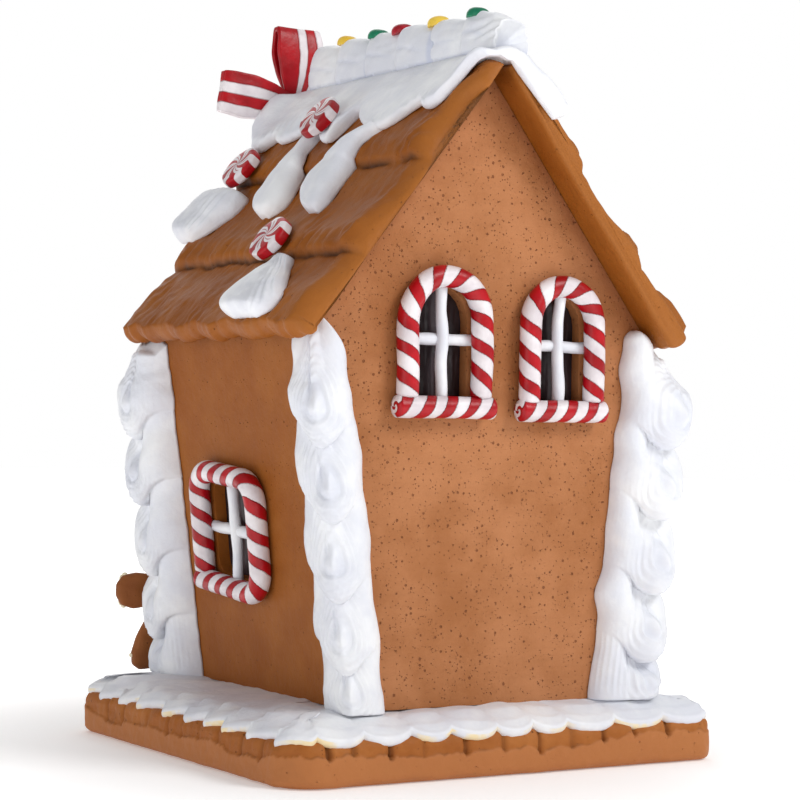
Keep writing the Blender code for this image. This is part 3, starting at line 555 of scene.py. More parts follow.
def ridgeX(y):
    near, far = house["roofY"]
    return house["ridgeX"][0] + (house["ridgeX"][1] - house["ridgeX"][0]) * (y - near) / (far - near)


def roofPoint(side, y, down, out):
    y, down, out = np.broadcast_arrays(y, down, out)
    run = downWay[0] * down + outWay[0] * out
    return np.stack([ridgeX(y) + side * run, y + 0.0 * run, house["ridgeZ"] + downWay[1] * down
                     + outWay[1] * out], axis=-1)


def courseTop(side, down):
    places, values = zip(*courses[side])
    return np.interp(down, places, values)


def undersideZ(side, x, y):
    return house["ridgeZ"] - side * (x - ridgeX(y)) / house["run"]


# --- slab ---
def roundedPlan(low, high, radii, step):
    # evenly spaced points round a rectangle with round corners, with their outward ways
    spots, ways = [], []
    for index, (sx, sy, start) in enumerate(((1, 1, 0), (-1, 1, 90), (-1, -1, 180), (1, -1, 270))):
        radius = radii[index]
        centre = np.array([(high[0] if sx > 0 else low[0]) - sx * radius,
                           (high[1] if sy > 0 else low[1]) - sy * radius])
        for angle in np.radians(np.linspace(start, start + 90, 60)):
            way = np.array([math.cos(angle), math.sin(angle)])
            spots.append(centre + radius * way)
            ways.append(way)
    spots, ways = np.array(spots + spots[:1]), np.array(ways + ways[:1])
    gone = np.concatenate([[0], np.cumsum(np.linalg.norm(np.diff(spots, axis=0), axis=1))])
    along = np.linspace(0, gone[-1], int(gone[-1] / step), endpoint=False)
    plan = np.stack([np.interp(along, gone, spots[:, k]) for k in (0, 1)], axis=1)
    facing = np.stack([np.interp(along, gone, ways[:, k]) for k in (0, 1)], axis=1)
    return plan, facing / np.linalg.norm(facing, axis=1)[:, None], along, gone[-1]


baseShape = dict(corners=(10.0, 8.0, 17.0, 9.0), height=17.5, tear=8.8, lip=1.2, creaseWidth=1.0,
                 frontCreases=(-82.9, -72.2, -56.0, -41.2, -22.1, -4.5, 12.5, 27.9, 43.6, 58.6, 75.8),
                 leftCreases=(67.0, 51.6, 28.1, 9.4, -3.6, -18.8, -34.8, -53.9, -70.0))
slabLow, slabHigh = boxOf("base_slab")


def marksRound(plan, facing, front, left):
    # distance from every point round the base to its nearest mark on that side, and the mark's number
    across = np.where(np.abs(facing[:, 1]) > np.abs(facing[:, 0]), plan[:, 0], plan[:, 1])
    onFront = np.abs(facing[:, 1]) > np.abs(facing[:, 0])
    away, which = np.full(len(plan), 99.0), np.zeros(len(plan), int)
    for group, (marks, mask) in enumerate((
            (front, onFront & (facing[:, 1] < 0)), (tuple(-m for m in front), onFront & (facing[:, 1] > 0)),
            (left, ~onFront & (facing[:, 0] < 0)), (tuple(-m for m in left), ~onFront & (facing[:, 0] > 0)))):
        gaps = across[:, None] - np.array(marks)[None, :]
        best = np.argmin(np.abs(gaps), axis=1)
        picked = gaps[np.arange(len(plan)), best]
        away = np.where(mask, picked, away)
        which = np.where(mask, best + 20 * group, which)
    return away, which


def makeSlab(shape):
    plan, facing, along, total = roundedPlan(slabLow[:2], slabHigh[:2], shape["corners"], 0.8)
    away, which = marksRound(plan, facing, shape["frontCreases"], shape["leftCreases"])
    luck = np.random.default_rng(4)
    strength = luck.uniform(0.22, 0.95, 100)[which]
    strength = strength * np.where(np.abs(facing[:, 0]) > 0.8, 0.55, 1.0)
    plan3 = np.concatenate([plan, np.zeros((len(plan), 1))], axis=1)
    tear = (shape["tear"] + 1.5 * uneven(plan3, 75, 1) + 0.9 * uneven(plan3, 14, 2)
            + 0.7 * np.abs(uneven(plan3, 5, 3)) - 2.4 * strength * bell(away, 1.3)
            + 1.4 * (facing[:, 1] < -0.5) * softStep(plan[:, 0], 10, 60))
    lift = 0.5 + 0.5 * uneven(plan3, 23, 5)
    heights = np.concatenate([[0, 0, 0.25, 0.9, 1.9], np.linspace(3.0, 15.6, 29),
                              [16.1, 16.6, 17.0, 17.35, 17.5, 17.5]])
    rings, crack, band = [], [], []
    for index, z in enumerate(heights):
        level = np.full(len(plan), z)
        upper = softStep(z, tear - 0.35, tear + 0.35)
        crease = strength * bell(away, shape["creaseWidth"] * (1 + 0.3 * uneven(plan3, 9, 8)))
        bulge = 0.9 * strength * np.clip(1 - np.abs(away) / 8.5, 0, 1) ** 2
        here = np.concatenate([plan, np.full((len(plan), 1), z)], axis=1)
        rough = 0.28 * uneven(here, 11, 6) + 0.16 * uneven(here, 4.2, 7)
        lowInset = 0.45 + 0.10 * (z / 8) + 0.5 * rough
        highInset = shape["lip"] + 2.3 * crease + bulge + rough
        inset = lowInset + (highInset - lowInset) * upper
        top = np.clip((z - 13.0) / 4.5, 0, 1)
        inset = inset + 3.6 * (1 - np.sqrt(np.clip(1 - top ** 2, 0, 1)))
        foot = np.clip((2.6 - z) / 2.6, 0, 1)
        inset = inset + 2.4 * (1 - np.sqrt(np.clip(1 - foot ** 2, 0, 1)))
        inset = np.maximum(inset, 0.05)
        level = level + lift * (0.2 < z) * np.clip(1 - z / 6.0, 0, 1)
        spots = plan - facing * inset[:, None]
        if index in (0, len(heights) - 1):
            spots = spots * 0.55
        rings.append(np.concatenate([spots, level[:, None]], axis=1))
        crack.append(np.clip(0.60 * crease * upper * (z < 17)
                             + 0.35 * bell(z - tear, 0.6) * softStep(uneven(here, 9, 12), 0.0, 0.8), 0, 1))
        band.append(1 - upper)
    skin = Shells()
    skin.add(np.array(rings), {"crack": crack, "smoothBand": band}, fan=True)
    mount(skin.build("iced_base_slab", doughs["slab"]), "gingerbread", "base_slab")


makeSlab(baseShape)

# the sheet of icing on the slab: soft scallops along the gable sides, shingles along the other two
sheetShape = dict(frontDips=(-88.0, -67.2, -45.9, -28.3, -7.1, 9.9, 26.3, 49.9, 74.1),
                  leftDips=(76.0, 57.5, 39.3, 15.6, -5.2, -21.6, -37.5, -57.6, -80.0), hang=3.0)


def makeSheet(shape):
    plan, facing, along, total = roundedPlan(slabLow[:2], slabHigh[:2], baseShape["corners"], 0.8)
    plan3 = np.concatenate([plan, np.zeros((len(plan), 1))], axis=1)
    shingled = softStep(np.abs(facing[:, 0]), 0.3, 0.9)
    place = np.where(np.abs(facing[:, 0]) > 0.7, plan[:, 1] * -np.sign(facing[:, 0]),
                     plan[:, 0] * -np.sign(facing[:, 1]))
    left = np.array(sorted((99.0,) + shape["leftDips"] + (-97.0,)))
    front = np.array(sorted((-104.0,) + shape["frontDips"] + (97.0,)))
    which = np.clip(np.searchsorted(left, place) - 1, 0, len(left) - 2)
    sharp = (place - left[which]) / (left[which + 1] - left[which])       # 0 near end, 1 far end
    sharpHang = sharp ** 1.25 * (1 - softStep(sharp, 0.965, 1.0))
    which = np.clip(np.searchsorted(front, place) - 1, 0, len(front) - 2)
    soft = (place - front[which]) / (front[which + 1] - front[which])
    softHang = np.sin(np.pi * np.clip(soft, 0, 1)) ** 0.55 * (0.85 + 0.25 * soft)
    hang = shingled * sharpHang + (1 - shingled) * softHang
    corner = np.clip(1 - np.max(np.abs(facing), axis=1), 0, 0.3) / 0.3
    hang = hang * (1 - corner) + 0.55 * corner
    reach = 0.35 + (3.0 - 2.4 * hang) + 0.35 * uneven(plan3, 16, 21)
    foot = 17.2 - shape["hang"] * hang + 0.35 * uneven(plan3, 30, 22)
    plump = 1.0 * hang + 0.4 * uneven(plan3, 26, 23)
    # profile from the hidden underside round the lip to the top: inset and height above the foot (or fixed)
    profile = [(60.0, None, 18.0), (22.0, None, 18.0), (8.0, None, 18.0), (4.4, 1.2, None), (2.2, 0.45, None)]
    for angle in np.radians(np.linspace(-78, 62, 15)):
        profile.append((2.0 - 2.0 * math.cos(angle), 2.3 + 2.3 * math.sin(angle), None))
    profile += [(1.9, 4.9, None), (3.0, 5.7, None), (4.5, 6.35, None), (6.5, 6.9, None), (9.0, None, 24.0),
                (12.0, None, 24.5), (16.0, None, 24.9), (20.0, None, 25.2), (25.0, None, 25.6),
                (32.0, None, 25.7), (45.0, None, 25.6), (60.0, None, 25.6)]
    rings, stain = [], []
    for index, (inset, rise, fixed) in enumerate(profile):
        z = foot + rise if fixed is None else np.full(len(plan), fixed)
        if fixed is None and inset > 2.5 and index > 12:
            z = z + plump * 0.5
        if index > 20:
            spot3 = plan3 - np.concatenate([facing * inset, np.zeros((len(plan), 1))], axis=1)
            settle = np.clip(1 - (inset - 9) / 14, 0, 1)
            z = z + 0.45 * uneven(spot3, 34, 24) + 0.25 * uneven(spot3, 13, 25) + settle * (plump - 0.6)
            z = np.minimum(z, 26.4)
        pull = inset + reach
        if inset < 14:
            spots = plan - facing * pull[:, None]
        else:
            far = np.linalg.norm(plan, axis=1)
            start = plan - facing * (reach + 9)[:, None]
            spots = start * (1 - np.clip((inset - 9) / far, 0, 0.9))[:, None]
        rings.append(np.concatenate([spots, z[:, None]], axis=1))
        low = 1.0 if (fixed is None and rise < 2.4) else 0.0
        stain.append(low * softStep(uneven(plan3, 45, 26), -0.2, 0.7))
    skin = Shells()
    skin.add(np.array(rings), {"stain": stain}, fan=True)
    mount(skin.build("icing_sheet", icingFinish), "icing", "base_icing")


makeSheet(sheetShape)
print("slab and its icing are made")


# --- walls and panes keep their cut shape ---
for node, dough in (("wall_gable_near", "gable"), ("wall_gable_far", "gable"),
                    ("wall_side_left", "shadedSideWall"), ("wall_side_right", "shadedSideWall")):
    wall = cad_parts[node]
    wall.data.materials.clear()
    wall.data.materials.append(doughs[dough])
for node in ("pane_near", "pane_far", "pane_left", "pane_right"):
    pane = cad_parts[node]
    pane.data.materials.clear()
    pane.data.materials.append(paneFinish)


# --- roof ---
roofShape = dict(start=2.4, step=1.0, toolDepth=0.30, toolWidth=7.0, noseWave=0.9, crackDepth=1.5,
                 rake={-1: ((0.0, 5.6), (1.0, 4.2), (2.5, 2.9), (4.5, 1.6), (8.5, 0.0), (200.0, 0.0)),
                       1: ((0.0, 1.4), (0.8, 0.5), (2.0, 0.1), (6.0, 0.0), (200.0, 0.0))},
                 rakeLine={-1: ((0.0, -1.0), (6.0, -2.6), (12.0, -3.2), (18.0, 0.0), (26.0, 4.2), (37.0, 4.2),
                                (47.0, 2.8), (60.0, -1.0), (85.0, 0.6), (110.0, -0.6), (140.0, 0.4)),
                           1: ((0.0, 0.6), (30.0, -0.5), (60.0, 0.8), (90.0, -0.4), (140.0, 0.4))},
                 strip=8.0, stripWidth=5.0, tongue=4.6,
                 cracks={-1: (53.6, 101.6), 1: (54.2, 102.4)})


def tongue(side, y, down):
    # the left panel's upper end swells into a rounded tongue at both gables
    near, far = house["roofY"]
    fromEnd = np.minimum(np.abs(y - near), np.abs(far - y))
    swell = roofShape["tongue"] * bell(fromEnd, 9.0) * (1 - softStep(down, 10, 42)) * softStep(down, 0, 6)
    return swell * (side < 0)


def makePanel(name, side, shape, node):
    near, far = house["roofY"]
    y = np.concatenate([[near, near + 0.25, near + 0.7], np.arange(near + 1.4, far - 1.2, shape["step"]),
                        [far - 0.7, far - 0.25, far]])
    full = courses[side][-1][1]
    down = np.concatenate([np.arange(shape["start"], 133.5, 0.9), np.linspace(134, 137.6, 5)])
    top = courseTop(side, down)
    kernel = np.exp(-0.5 * (np.arange(-3, 4) / 0.9) ** 2)
    padded = np.concatenate([np.full(3, top[0]), top, np.full(3, top[-1])])
    top = np.convolve(padded, kernel / kernel.sum(), mode="valid")
    nose = np.radians(np.linspace(20, 165, 12))
    noseDown = slopeLength - 3.6 + 3.6 * np.sin(nose)
    noseOut = 0.5 * full * (1 + np.cos(nose) ** 1) * 0.98
    backDown = np.linspace(slopeLength - 6, shape["start"], 12)
    ringDown = np.concatenate([down, noseDown, backDown])
    ringOut = np.concatenate([top, noseOut, np.zeros(12)])
    isTop = np.concatenate([np.ones(len(down)), np.linspace(1, 0, 12), np.zeros(12)])
    grid = np.stack(np.meshgrid(y, ringDown, indexing="ij"), axis=-1)
    fromEnd = np.minimum(y - near, far - y)[:, None]
    loss = smoothRun(shape["rake"][side], fromEnd)
    wave = 1.3 * uneven(grid, 38, 31 + side) + 0.5 * uneven(grid, 12, 33 + side)
    # the course edges wander along y, so the height is read a little up or down the slope
    wander = (1.1 * unevenLine(y, 44, 35 + side) + 0.5 * unevenLine(y, 13, 36 + side))[:, None]
    inMiddle = np.clip(np.minimum(ringDown - 8, 128 - ringDown) / 12, 0, 1)[None, :]
    out = np.interp(ringDown[None, :] + wander * inMiddle, down, top) * isTop[None, :] \
        + ringOut[None, :] * (1 - isTop[None, :])
    out = np.where((isTop < 1)[None, :], ringOut[None, :] + 0 * out, out)
    marks = np.sin(2 * np.pi * (grid[..., 0] + 0.22 * grid[..., 1] * side + 2.2 * wave) / shape["toolWidth"])
    tool = shape["toolDepth"] * marks * np.clip(0.25 + 0.9 * uneven(grid, 52, 37), 0, 1)
    lumps = 0.42 * uneven(grid, 27, 38) + 0.16 * uneven(grid, 8, 39)
    crack = np.zeros_like(out)
    for place in shape["cracks"][side]:
        crack = np.maximum(crack, bell(ringDown[None, :] + wander - place - 0.6, 0.9)
                           * np.clip(0.75 + 0.5 * uneven(grid, 24, 40), 0, 1))
        folds = bell(ringDown[None, :] + wander - place + 5.5, 5.0)
        tool = tool + 0.45 * folds * np.sin(2 * np.pi * grid[..., 0] / 11.0 + 3.0 * uneven(grid, 60, 41))
    edgeFade = np.clip(fromEnd / 9.0, 0.0, 1)
    crack = crack * isTop[None, :] * (0.25 + 0.75 * edgeFade)
    out = out + isTop[None, :] * (tool * edgeFade + lumps - shape["crackDepth"] * crack * 0.8)
    out = out + isTop[None, :] * tongue(side, y[:, None], ringDown[None, :])
    if side > 0:
        # the courses bulge up behind a flatter strip along the rake
        behind = softStep(fromEnd, shape["stripWidth"] - 1.2, shape["stripWidth"] + 1.0)
        proud = np.maximum(out - shape["strip"], 0.0)
        swell = 3.0 * bell(fromEnd - shape["stripWidth"] - 5.0, 7.0) * np.clip(proud / 2.0, 0, 1)
        out = out - isTop[None, :] * (1 - behind) * proud * 0.75 + isTop[None, :] * swell
    out = np.where(out > 0, out * (1 - loss / 8.0), 0.25 * loss)
    fringe = (shape["noseWave"] * unevenLine(y, 21, 42 + side) + 0.4 * unevenLine(y, 7, 43))[:, None]
    downAll = ringDown[None, :] + (fringe - 0.9) * np.clip((ringDown - 126) / 12, 0, 1)[None, :] \
        - 0.35 * loss * (ringDown > 136)[None, :]
    rakeWave = (0.9 * uneven(np.stack([ringDown, 0 * ringDown + 5], -1), 37, 44 + side)
                + 0.3 * uneven(np.stack([ringDown, 0 * ringDown + 5], -1), 9, 45))[None, :]
    rakeLine = smoothRun(shape["rakeLine"][side], ringDown)[None, :] - 0.4 * rakeWave
    yAll = y[:, None] + rakeLine * bell(y - near, 14)[:, None] - rakeLine * bell(y - far, 14)[:, None]
    # both rakes are rounded: the last ring shrinks about the panel's mid height
    round_ = smoothRun(((0, 0.62), (0.25, 0.80), (0.7, 0.92), (1.4, 0.98), (3.0, 1.0), (300, 1.0)), fromEnd)
    middle = 0.5 * np.interp(ringDown, down, top)[None, :] * (1 - loss / 8)
    out = middle + (out - middle) * round_
    skin = Shells()
    # painted highlight: the roof dough turns paler within about 7 mm of each rake
    band = bell(fromEnd, 7.0) + 0 * out
    skin.add(roofPoint(side, yAll, downAll, out), {"crack": crack, "smoothBand": np.clip(band, 0, 1)})
    mount(skin.build(name, doughs["roof"]), "gingerbread", node)


makePanel("roof_panel_left", -1, roofShape, "roof_left")
makePanel("roof_panel_right", 1, roofShape, "roof_right")
print("roof panels are laid")

# --- icing draped over the ridge ---
drapeShape = dict(
    edge=((-93.0, 4.5), (-88.4, 8.0), (-82.6, 15.4), (-79.4, 20.5), (-77.4, 26.0), (-75.6, 28.5),
          (-70.8, 29.5), (-67.5, 26.5), (-63.3, 25.0), (-60.5, 26.0), (-57.5, 28.5), (-54.0, 32.0),
          (-51.0, 35.0), (-47.5, 37.2), (-44.2, 37.9), (-40.0, 36.8), (-35.5, 35.0), (-31.7, 33.8),
          (-26.0, 32.8), (-21.6, 31.0), (-17.0, 27.5), (-12.5, 24.0), (-9.2, 23.0), (-6.6, 28.0),
          (-5.6, 36.0), (-3.4, 40.3), (0.0, 40.0), (4.4, 37.6), (11.0, 33.5), (18.0, 30.5), (26.0, 29.8),
          (34.7, 31.3), (40.8, 33.6), (46.5, 35.0), (51.5, 33.6), (55.8, 30.6), (58.2, 32.2), (61.0, 35.4),
          (65.5, 37.6), (70.0, 37.0), (74.5, 34.0), (79.0, 30.0), (83.0, 25.5), (85.4, 20.0)),
    farEdge=((-93.0, 28.5), (-88.0, 31.0), (-82.0, 29.0), (-74.0, 27.5), (-66.0, 26.0), (-50.0, 30.5),
             (-40.0, 32.0), (-20.0, 29.0), (-8.0, 26.5), (0.0, 33.5), (15.0, 29.0), (40.0, 31.0),
             (56.0, 29.0), (68.0, 32.5), (80.0, 28.0), (85.4, 22.0)),
    crown=6.4, shoulder=(7.27, 4.3), thick=5.2)


def crownZ(across):
    wide, low = drapeShape["shoulder"]
    share = np.clip(np.abs(across) / wide, 0, 1)
    return house["ridgeZ"] + drapeShape["crown"] + (low - drapeShape["crown"]) * share ** 2


def makeDrape(shape):
    near, far = house["roofY"]
    y = np.concatenate([[-92.8, -92.5, -91.9, -91.0, -90.3], np.arange(-89.8, 84.2, 0.75),
                        [84.5, 85.0, 85.3, 85.4]])
    edge = smoothRun(shape["edge"], y) + 0.35 * unevenLine(y, 6, 51)
    # the ends are rounded in the thickness, and hang a little over the panels' rakes
    fromEnd = np.minimum((y + 93.0) / 2.2, (85.6 - y) / 2.2)
    round_ = np.sqrt(np.clip(1 - (1 - np.clip(fromEnd, 0, 1)) ** 2, 0.05, 1))[:, None]
    over = ((y < near) | (y > far)).astype(float)[:, None]
    shares = np.concatenate([np.linspace(0.10, 0.80, 18), 0.80 + 0.16 * np.linspace(0.1, 1, 8)])
    nose = np.radians(np.linspace(10, 170, 11))[None, :]
    halves = {}
    for side in (-1, 1):
        other = smoothRun(shape["farEdge"], y) + 1.6 * unevenLine(y, 23, 52) * softStep(y, -86, -70)
        length = edge if side < 0 else other
        down = length[:, None] * shares[None, :]
        here = np.stack([y[:, None] + 0 * down, down], axis=-1)
        groove = 0.35 * np.sin(2 * np.pi * (y[:, None] + 0.30 * down) / 5.2 + 2.5 * uneven(here, 40, 53)) \
            * softStep(down, 14, 30) * np.clip(0.4 + 0.8 * uneven(here, 30, 54), 0, 1)
        plump = smoothRun(((0.0, 0.82), (0.3, 0.86), (0.6, 1.0), (0.85, 0.98), (1.0, 0.86)), shares)[None, :]
        lump = 0.55 * uneven(here, 33, 55 + side) + 0.22 * uneven(here, 12, 56)
        thick = shape["thick"] * (1 + (0.30 if side > 0 else 0.0) * bell(y - near, 12)[:, None])

        def panelTop(at):
            return courseTop(side, at) + tongue(side, y[:, None], at)
        top = panelTop(down) + house["gap"] + thick * plump + (lump + groove) * round_
        drop = over * (3.4 if side > 0 else 0.2)
        bottom = panelTop(down) + 0.05 - drop
        middle, half = 0.5 * (top + bottom), 0.5 * (top - bottom) * round_
        top = middle + half
        bulge = np.minimum(half[:, -1:], 0.05 * length[:, None] + 0.6)
        lip = down[:, -1:] + bulge * np.sin(nose)
        lipOut = middle[:, -1:] + half[:, -1:] * np.cos(nose)
        lipOut = np.where(over > 0, lipOut, np.maximum(lipOut, courseTop(side, lip) + 0.05))
        under = length[:, None] * np.array([0.8, 0.5, 0.2])[None, :]
        low = panelTop(under) + 0.05 - drop
        underOut = low + (1 - round_) * 0.4 * thick
        halves[side] = (down, top, lip, lipOut, under, underOut)
    across = np.linspace(-7.0, 7.0, 15)
    rings = []
    for k in range(len(y)):
        down, out, lip, lipOut, under, underOut = (part[k] for part in halves[-1])
        left = roofPoint(-1, y[k], down[::-1], out[::-1])
        leftLip, leftUnder = roofPoint(-1, y[k], lip, lipOut), roofPoint(-1, y[k], under, underOut)
        down, out, lip, lipOut, under, underOut = (part[k] for part in halves[1])
        right = roofPoint(1, y[k], down, out)
        rightLip, rightUnder = roofPoint(1, y[k], lip, lipOut), roofPoint(1, y[k], under, underOut)
        belly = house["ridgeZ"] + (1.6 - 1.0 * float(over[k, 0]))
        high = crownZ(across)
        high = 0.5 * (high + belly) + 0.5 * (high - belly) * round_[k, 0]
        top = np.stack([ridgeX(y[k]) + across, np.full(15, y[k]), high], axis=-1)
        for index, share in ((0, 0.5), (1, 0.25), (2, 0.1)):       # ease the crown into both slopes
            top[index] += share * (left[-1] - top[0])
            top[-1 - index] += share * (right[0] - top[-1])
        hollow = np.array([[ridgeX(y[k]) + 1.0, y[k], belly], [ridgeX(y[k]) - 1.0, y[k], belly]])
        rings.append(np.concatenate([leftUnder[::-1], leftLip[::-1], left, top, right, rightLip, rightUnder,
                                     hollow]))
    skin = Shells()
    skin.add(np.array(rings))
    mount(skin.build("ridge_drape", icingFinish), "icing", "ridge_icing")


makeDrape(drapeShape)

# --- the piped border on the ridge ---
borderShape = dict(start=-88.0, end=72.0, lobes=6, halfWidth=8.9, shift=2.6, proud=1.7, ridgePitch=2.3)


def borderTop(y):
    place = (y - borderShape["start"]) / (borderShape["end"] - borderShape["start"])
    return crownZ(0.0) + 14.2 + 3.4 * place


def makeBorder(shape):
    pitch = (shape["end"] - shape["start"]) / shape["lobes"]
    luck = np.random.default_rng(61)
    skin = Shells()
    for lobe in range(shape["lobes"]):
        first = lobe == 0
        from_ = shape["start"] + pitch * lobe - (1.0 if first else 6.0)
        to = shape["start"] + pitch * (lobe + 1) + (0.6 if lobe < shape["lobes"] - 1 else 0.0)
        tail = 0.02 * (1 - np.cos(np.radians(np.linspace(8, 90, 6)))) if first else [0.0]
        t = np.concatenate([tail, np.linspace(0.03, 0.88, 34),
                            0.88 + 0.12 * np.sin(np.radians(np.linspace(7, 90, 16)))])
        broad = smoothRun(((0.0, 0.93), (0.1, 0.95), (0.4, 0.95), (0.75, 0.99), (1.01, 1.0)) if first else
                          ((0.0, 0.80), (0.15, 0.86), (0.4, 0.94), (0.75, 0.99), (1.01, 1.0)), t)
        high = smoothRun(((0.0, 0.70), (0.08, 0.74), (0.3, 0.86), (0.62, 0.99), (1.01, 1.0)) if first else
                         ((0.0, 0.78), (0.2, 0.88), (0.5, 0.97), (0.8, 1.0), (1.01, 1.0)), t)
        noseFall = np.sqrt(np.clip(1 - (np.clip(t - 0.88, 0, 1) / 0.1205) ** 2, 0, 1))
        tailFall = np.sqrt(np.clip(1 - (1 - np.clip(t / 0.021, 0.15, 1)) ** 2, 0, 1)) if first else 1.0
        y = from_ + (to - from_) * t
        wide = shape["halfWidth"] * broad * (0.80 + 0.20 * noseFall) * luck.uniform(0.97, 1.03)
        wide = wide * (0.86 + 0.14 * tailFall)
        low = crownZ(0.0) - 1.6
        tall = (borderTop(y) + shape["proud"] - low) * high * luck.uniform(0.985, 1.005)
        tall = tall * (0.66 + 0.34 * noseFall) * (0.86 + 0.14 * tailFall)
        lean = luck.uniform(-0.5, 0.5)
        angle = np.radians(np.linspace(-12, 192, 70))
        across = np.sign(np.cos(angle)) * np.abs(np.cos(angle)) ** 0.50
        up = np.sign(np.sin(angle)) * np.abs(np.sin(angle)) ** 0.70
        here = np.stack(np.broadcast_arrays(y[:, None], 20 * across[None, :], 20 * up[None, :]
                                            + 60 * lobe), axis=-1)
        # layered folds run along the sides, closest together near the tail
        layer = np.sin(2 * np.pi * (9 * up[None, :] + 4.0 * t[:, None] + 0.9 * uneven(here, 34, 62))
                       / shape["ridgePitch"])
        depth = (0.42 if first else 0.07) * (1 - softStep(t, 0.45, 0.95))[:, None] * softStep(up, 0.1, 0.5)
        crease = up - 0.44 - 0.12 * (t[:, None] - 0.5) - 0.04 * uneven(here, 30, 65)
        fold = -0.60 * bell(crease, 0.055) * softStep(t, 0.15, 0.45)[:, None] * np.clip(0.7 + 0.5 * uneven(
            here, 24, 66), 0, 1) * (0.3 if first else 1.0)
        puff = layer * depth + fold + 0.34 * uneven(here, 26, 63 + lobe) + 0.12 * uneven(here, 9, 64)
        # the lower part of a side stands straight, the upper part leans in
        slant = 1.0 - 0.13 * np.clip((up - 0.44) / 0.56, 0, 1) - 0.09 * (1 - softStep(up, 0.02, 0.16))
        centre = ridgeX(y) + shape["shift"] + lean
        x = centre[:, None] + (wide[:, None] * slant[None, :] + puff) * across[None, :]
        z = low + (tall[:, None] + puff * 0.8) * np.clip(up[None, :], -0.2, 1)
        z = np.maximum(z, crownZ(x - ridgeX(y)[:, None]) - 0.6)
        yy = y[:, None] - 2.2 * (1 - up[None, :]) * softStep(t, 0.6, 1.0)[:, None] \
            - 1.6 * np.clip(up[None, :], 0, 1) ** 3 * softStep(t, 0.86, 1.0)[:, None]
        seam = 0.0 if first else 0.9 * (1 - softStep(t, 0.09, 0.17))[:, None]
        shade = np.maximum(np.maximum(seam, 0.7 * (1 - softStep(up, 0.0, 0.14))[None, :]),
                           0.35 * bell(crease, 0.05) * softStep(t, 0.15, 0.45)[:, None])
        skin.add(np.stack([x, yy + 0 * x, z], axis=-1), {"hollow": shade + 0 * x})
    mount(skin.build("ridge_border", icingFinish), "icing", "ridge_swirl")


makeBorder(borderShape)
print("ridge icing is piped")


# --- icing drops on the slopes ---
dropShape = dict(
    a=dict(thick=8.5, grooves=1, depth=0.12, open=True,
           edge=((31.5, 13.0, 20.5), (37.0, 11.8, 21.5), (44.0, 11.5, 22.0), (50.0, 9.5, 25.0),
                 (54.5, 8.5, 27.5), (63.0, 5.0, 30.5), (70.0, 2.8, 29.5), (75.5, 4.5, 24.0),
                 (79.0, 9.0, 17.0))),
    b=dict(thick=8.5, grooves=1, depth=0.10, open=True,
           edge=((37.0, -44.0, -34.0), (44.0, -37.5, -23.5), (50.0, -36.5, -17.5), (54.5, -36.5, -14.5),
                 (62.0, -36.2, -9.5), (69.0, -36.5, -12.0), (75.0, -37.5, -19.0), (80.0, -37.0, -28.0))),
    c=dict(thick=11.0, grooves=5, depth=0.42, open=False,
           edge=((61.9, 54.0, 72.0), (64.0, 50.0, 84.0), (67.0, 48.5, 90.0), (72.0, 49.5, 92.5),
                 (79.0, 54.5, 92.0), (85.0, 59.0, 89.0), (90.0, 66.0, 80.0))),
    d=dict(thick=8.2, grooves=6, depth=0.48, open=False,
           edge=((103.5, -43.0, -30.0), (109.0, -47.5, -28.5), (115.0, -54.0, -26.0), (123.0, -62.0, -22.0),
                 (129.0, -65.0, -19.5), (133.0, -64.0, -22.5), (136.4, -58.0, -33.0))))


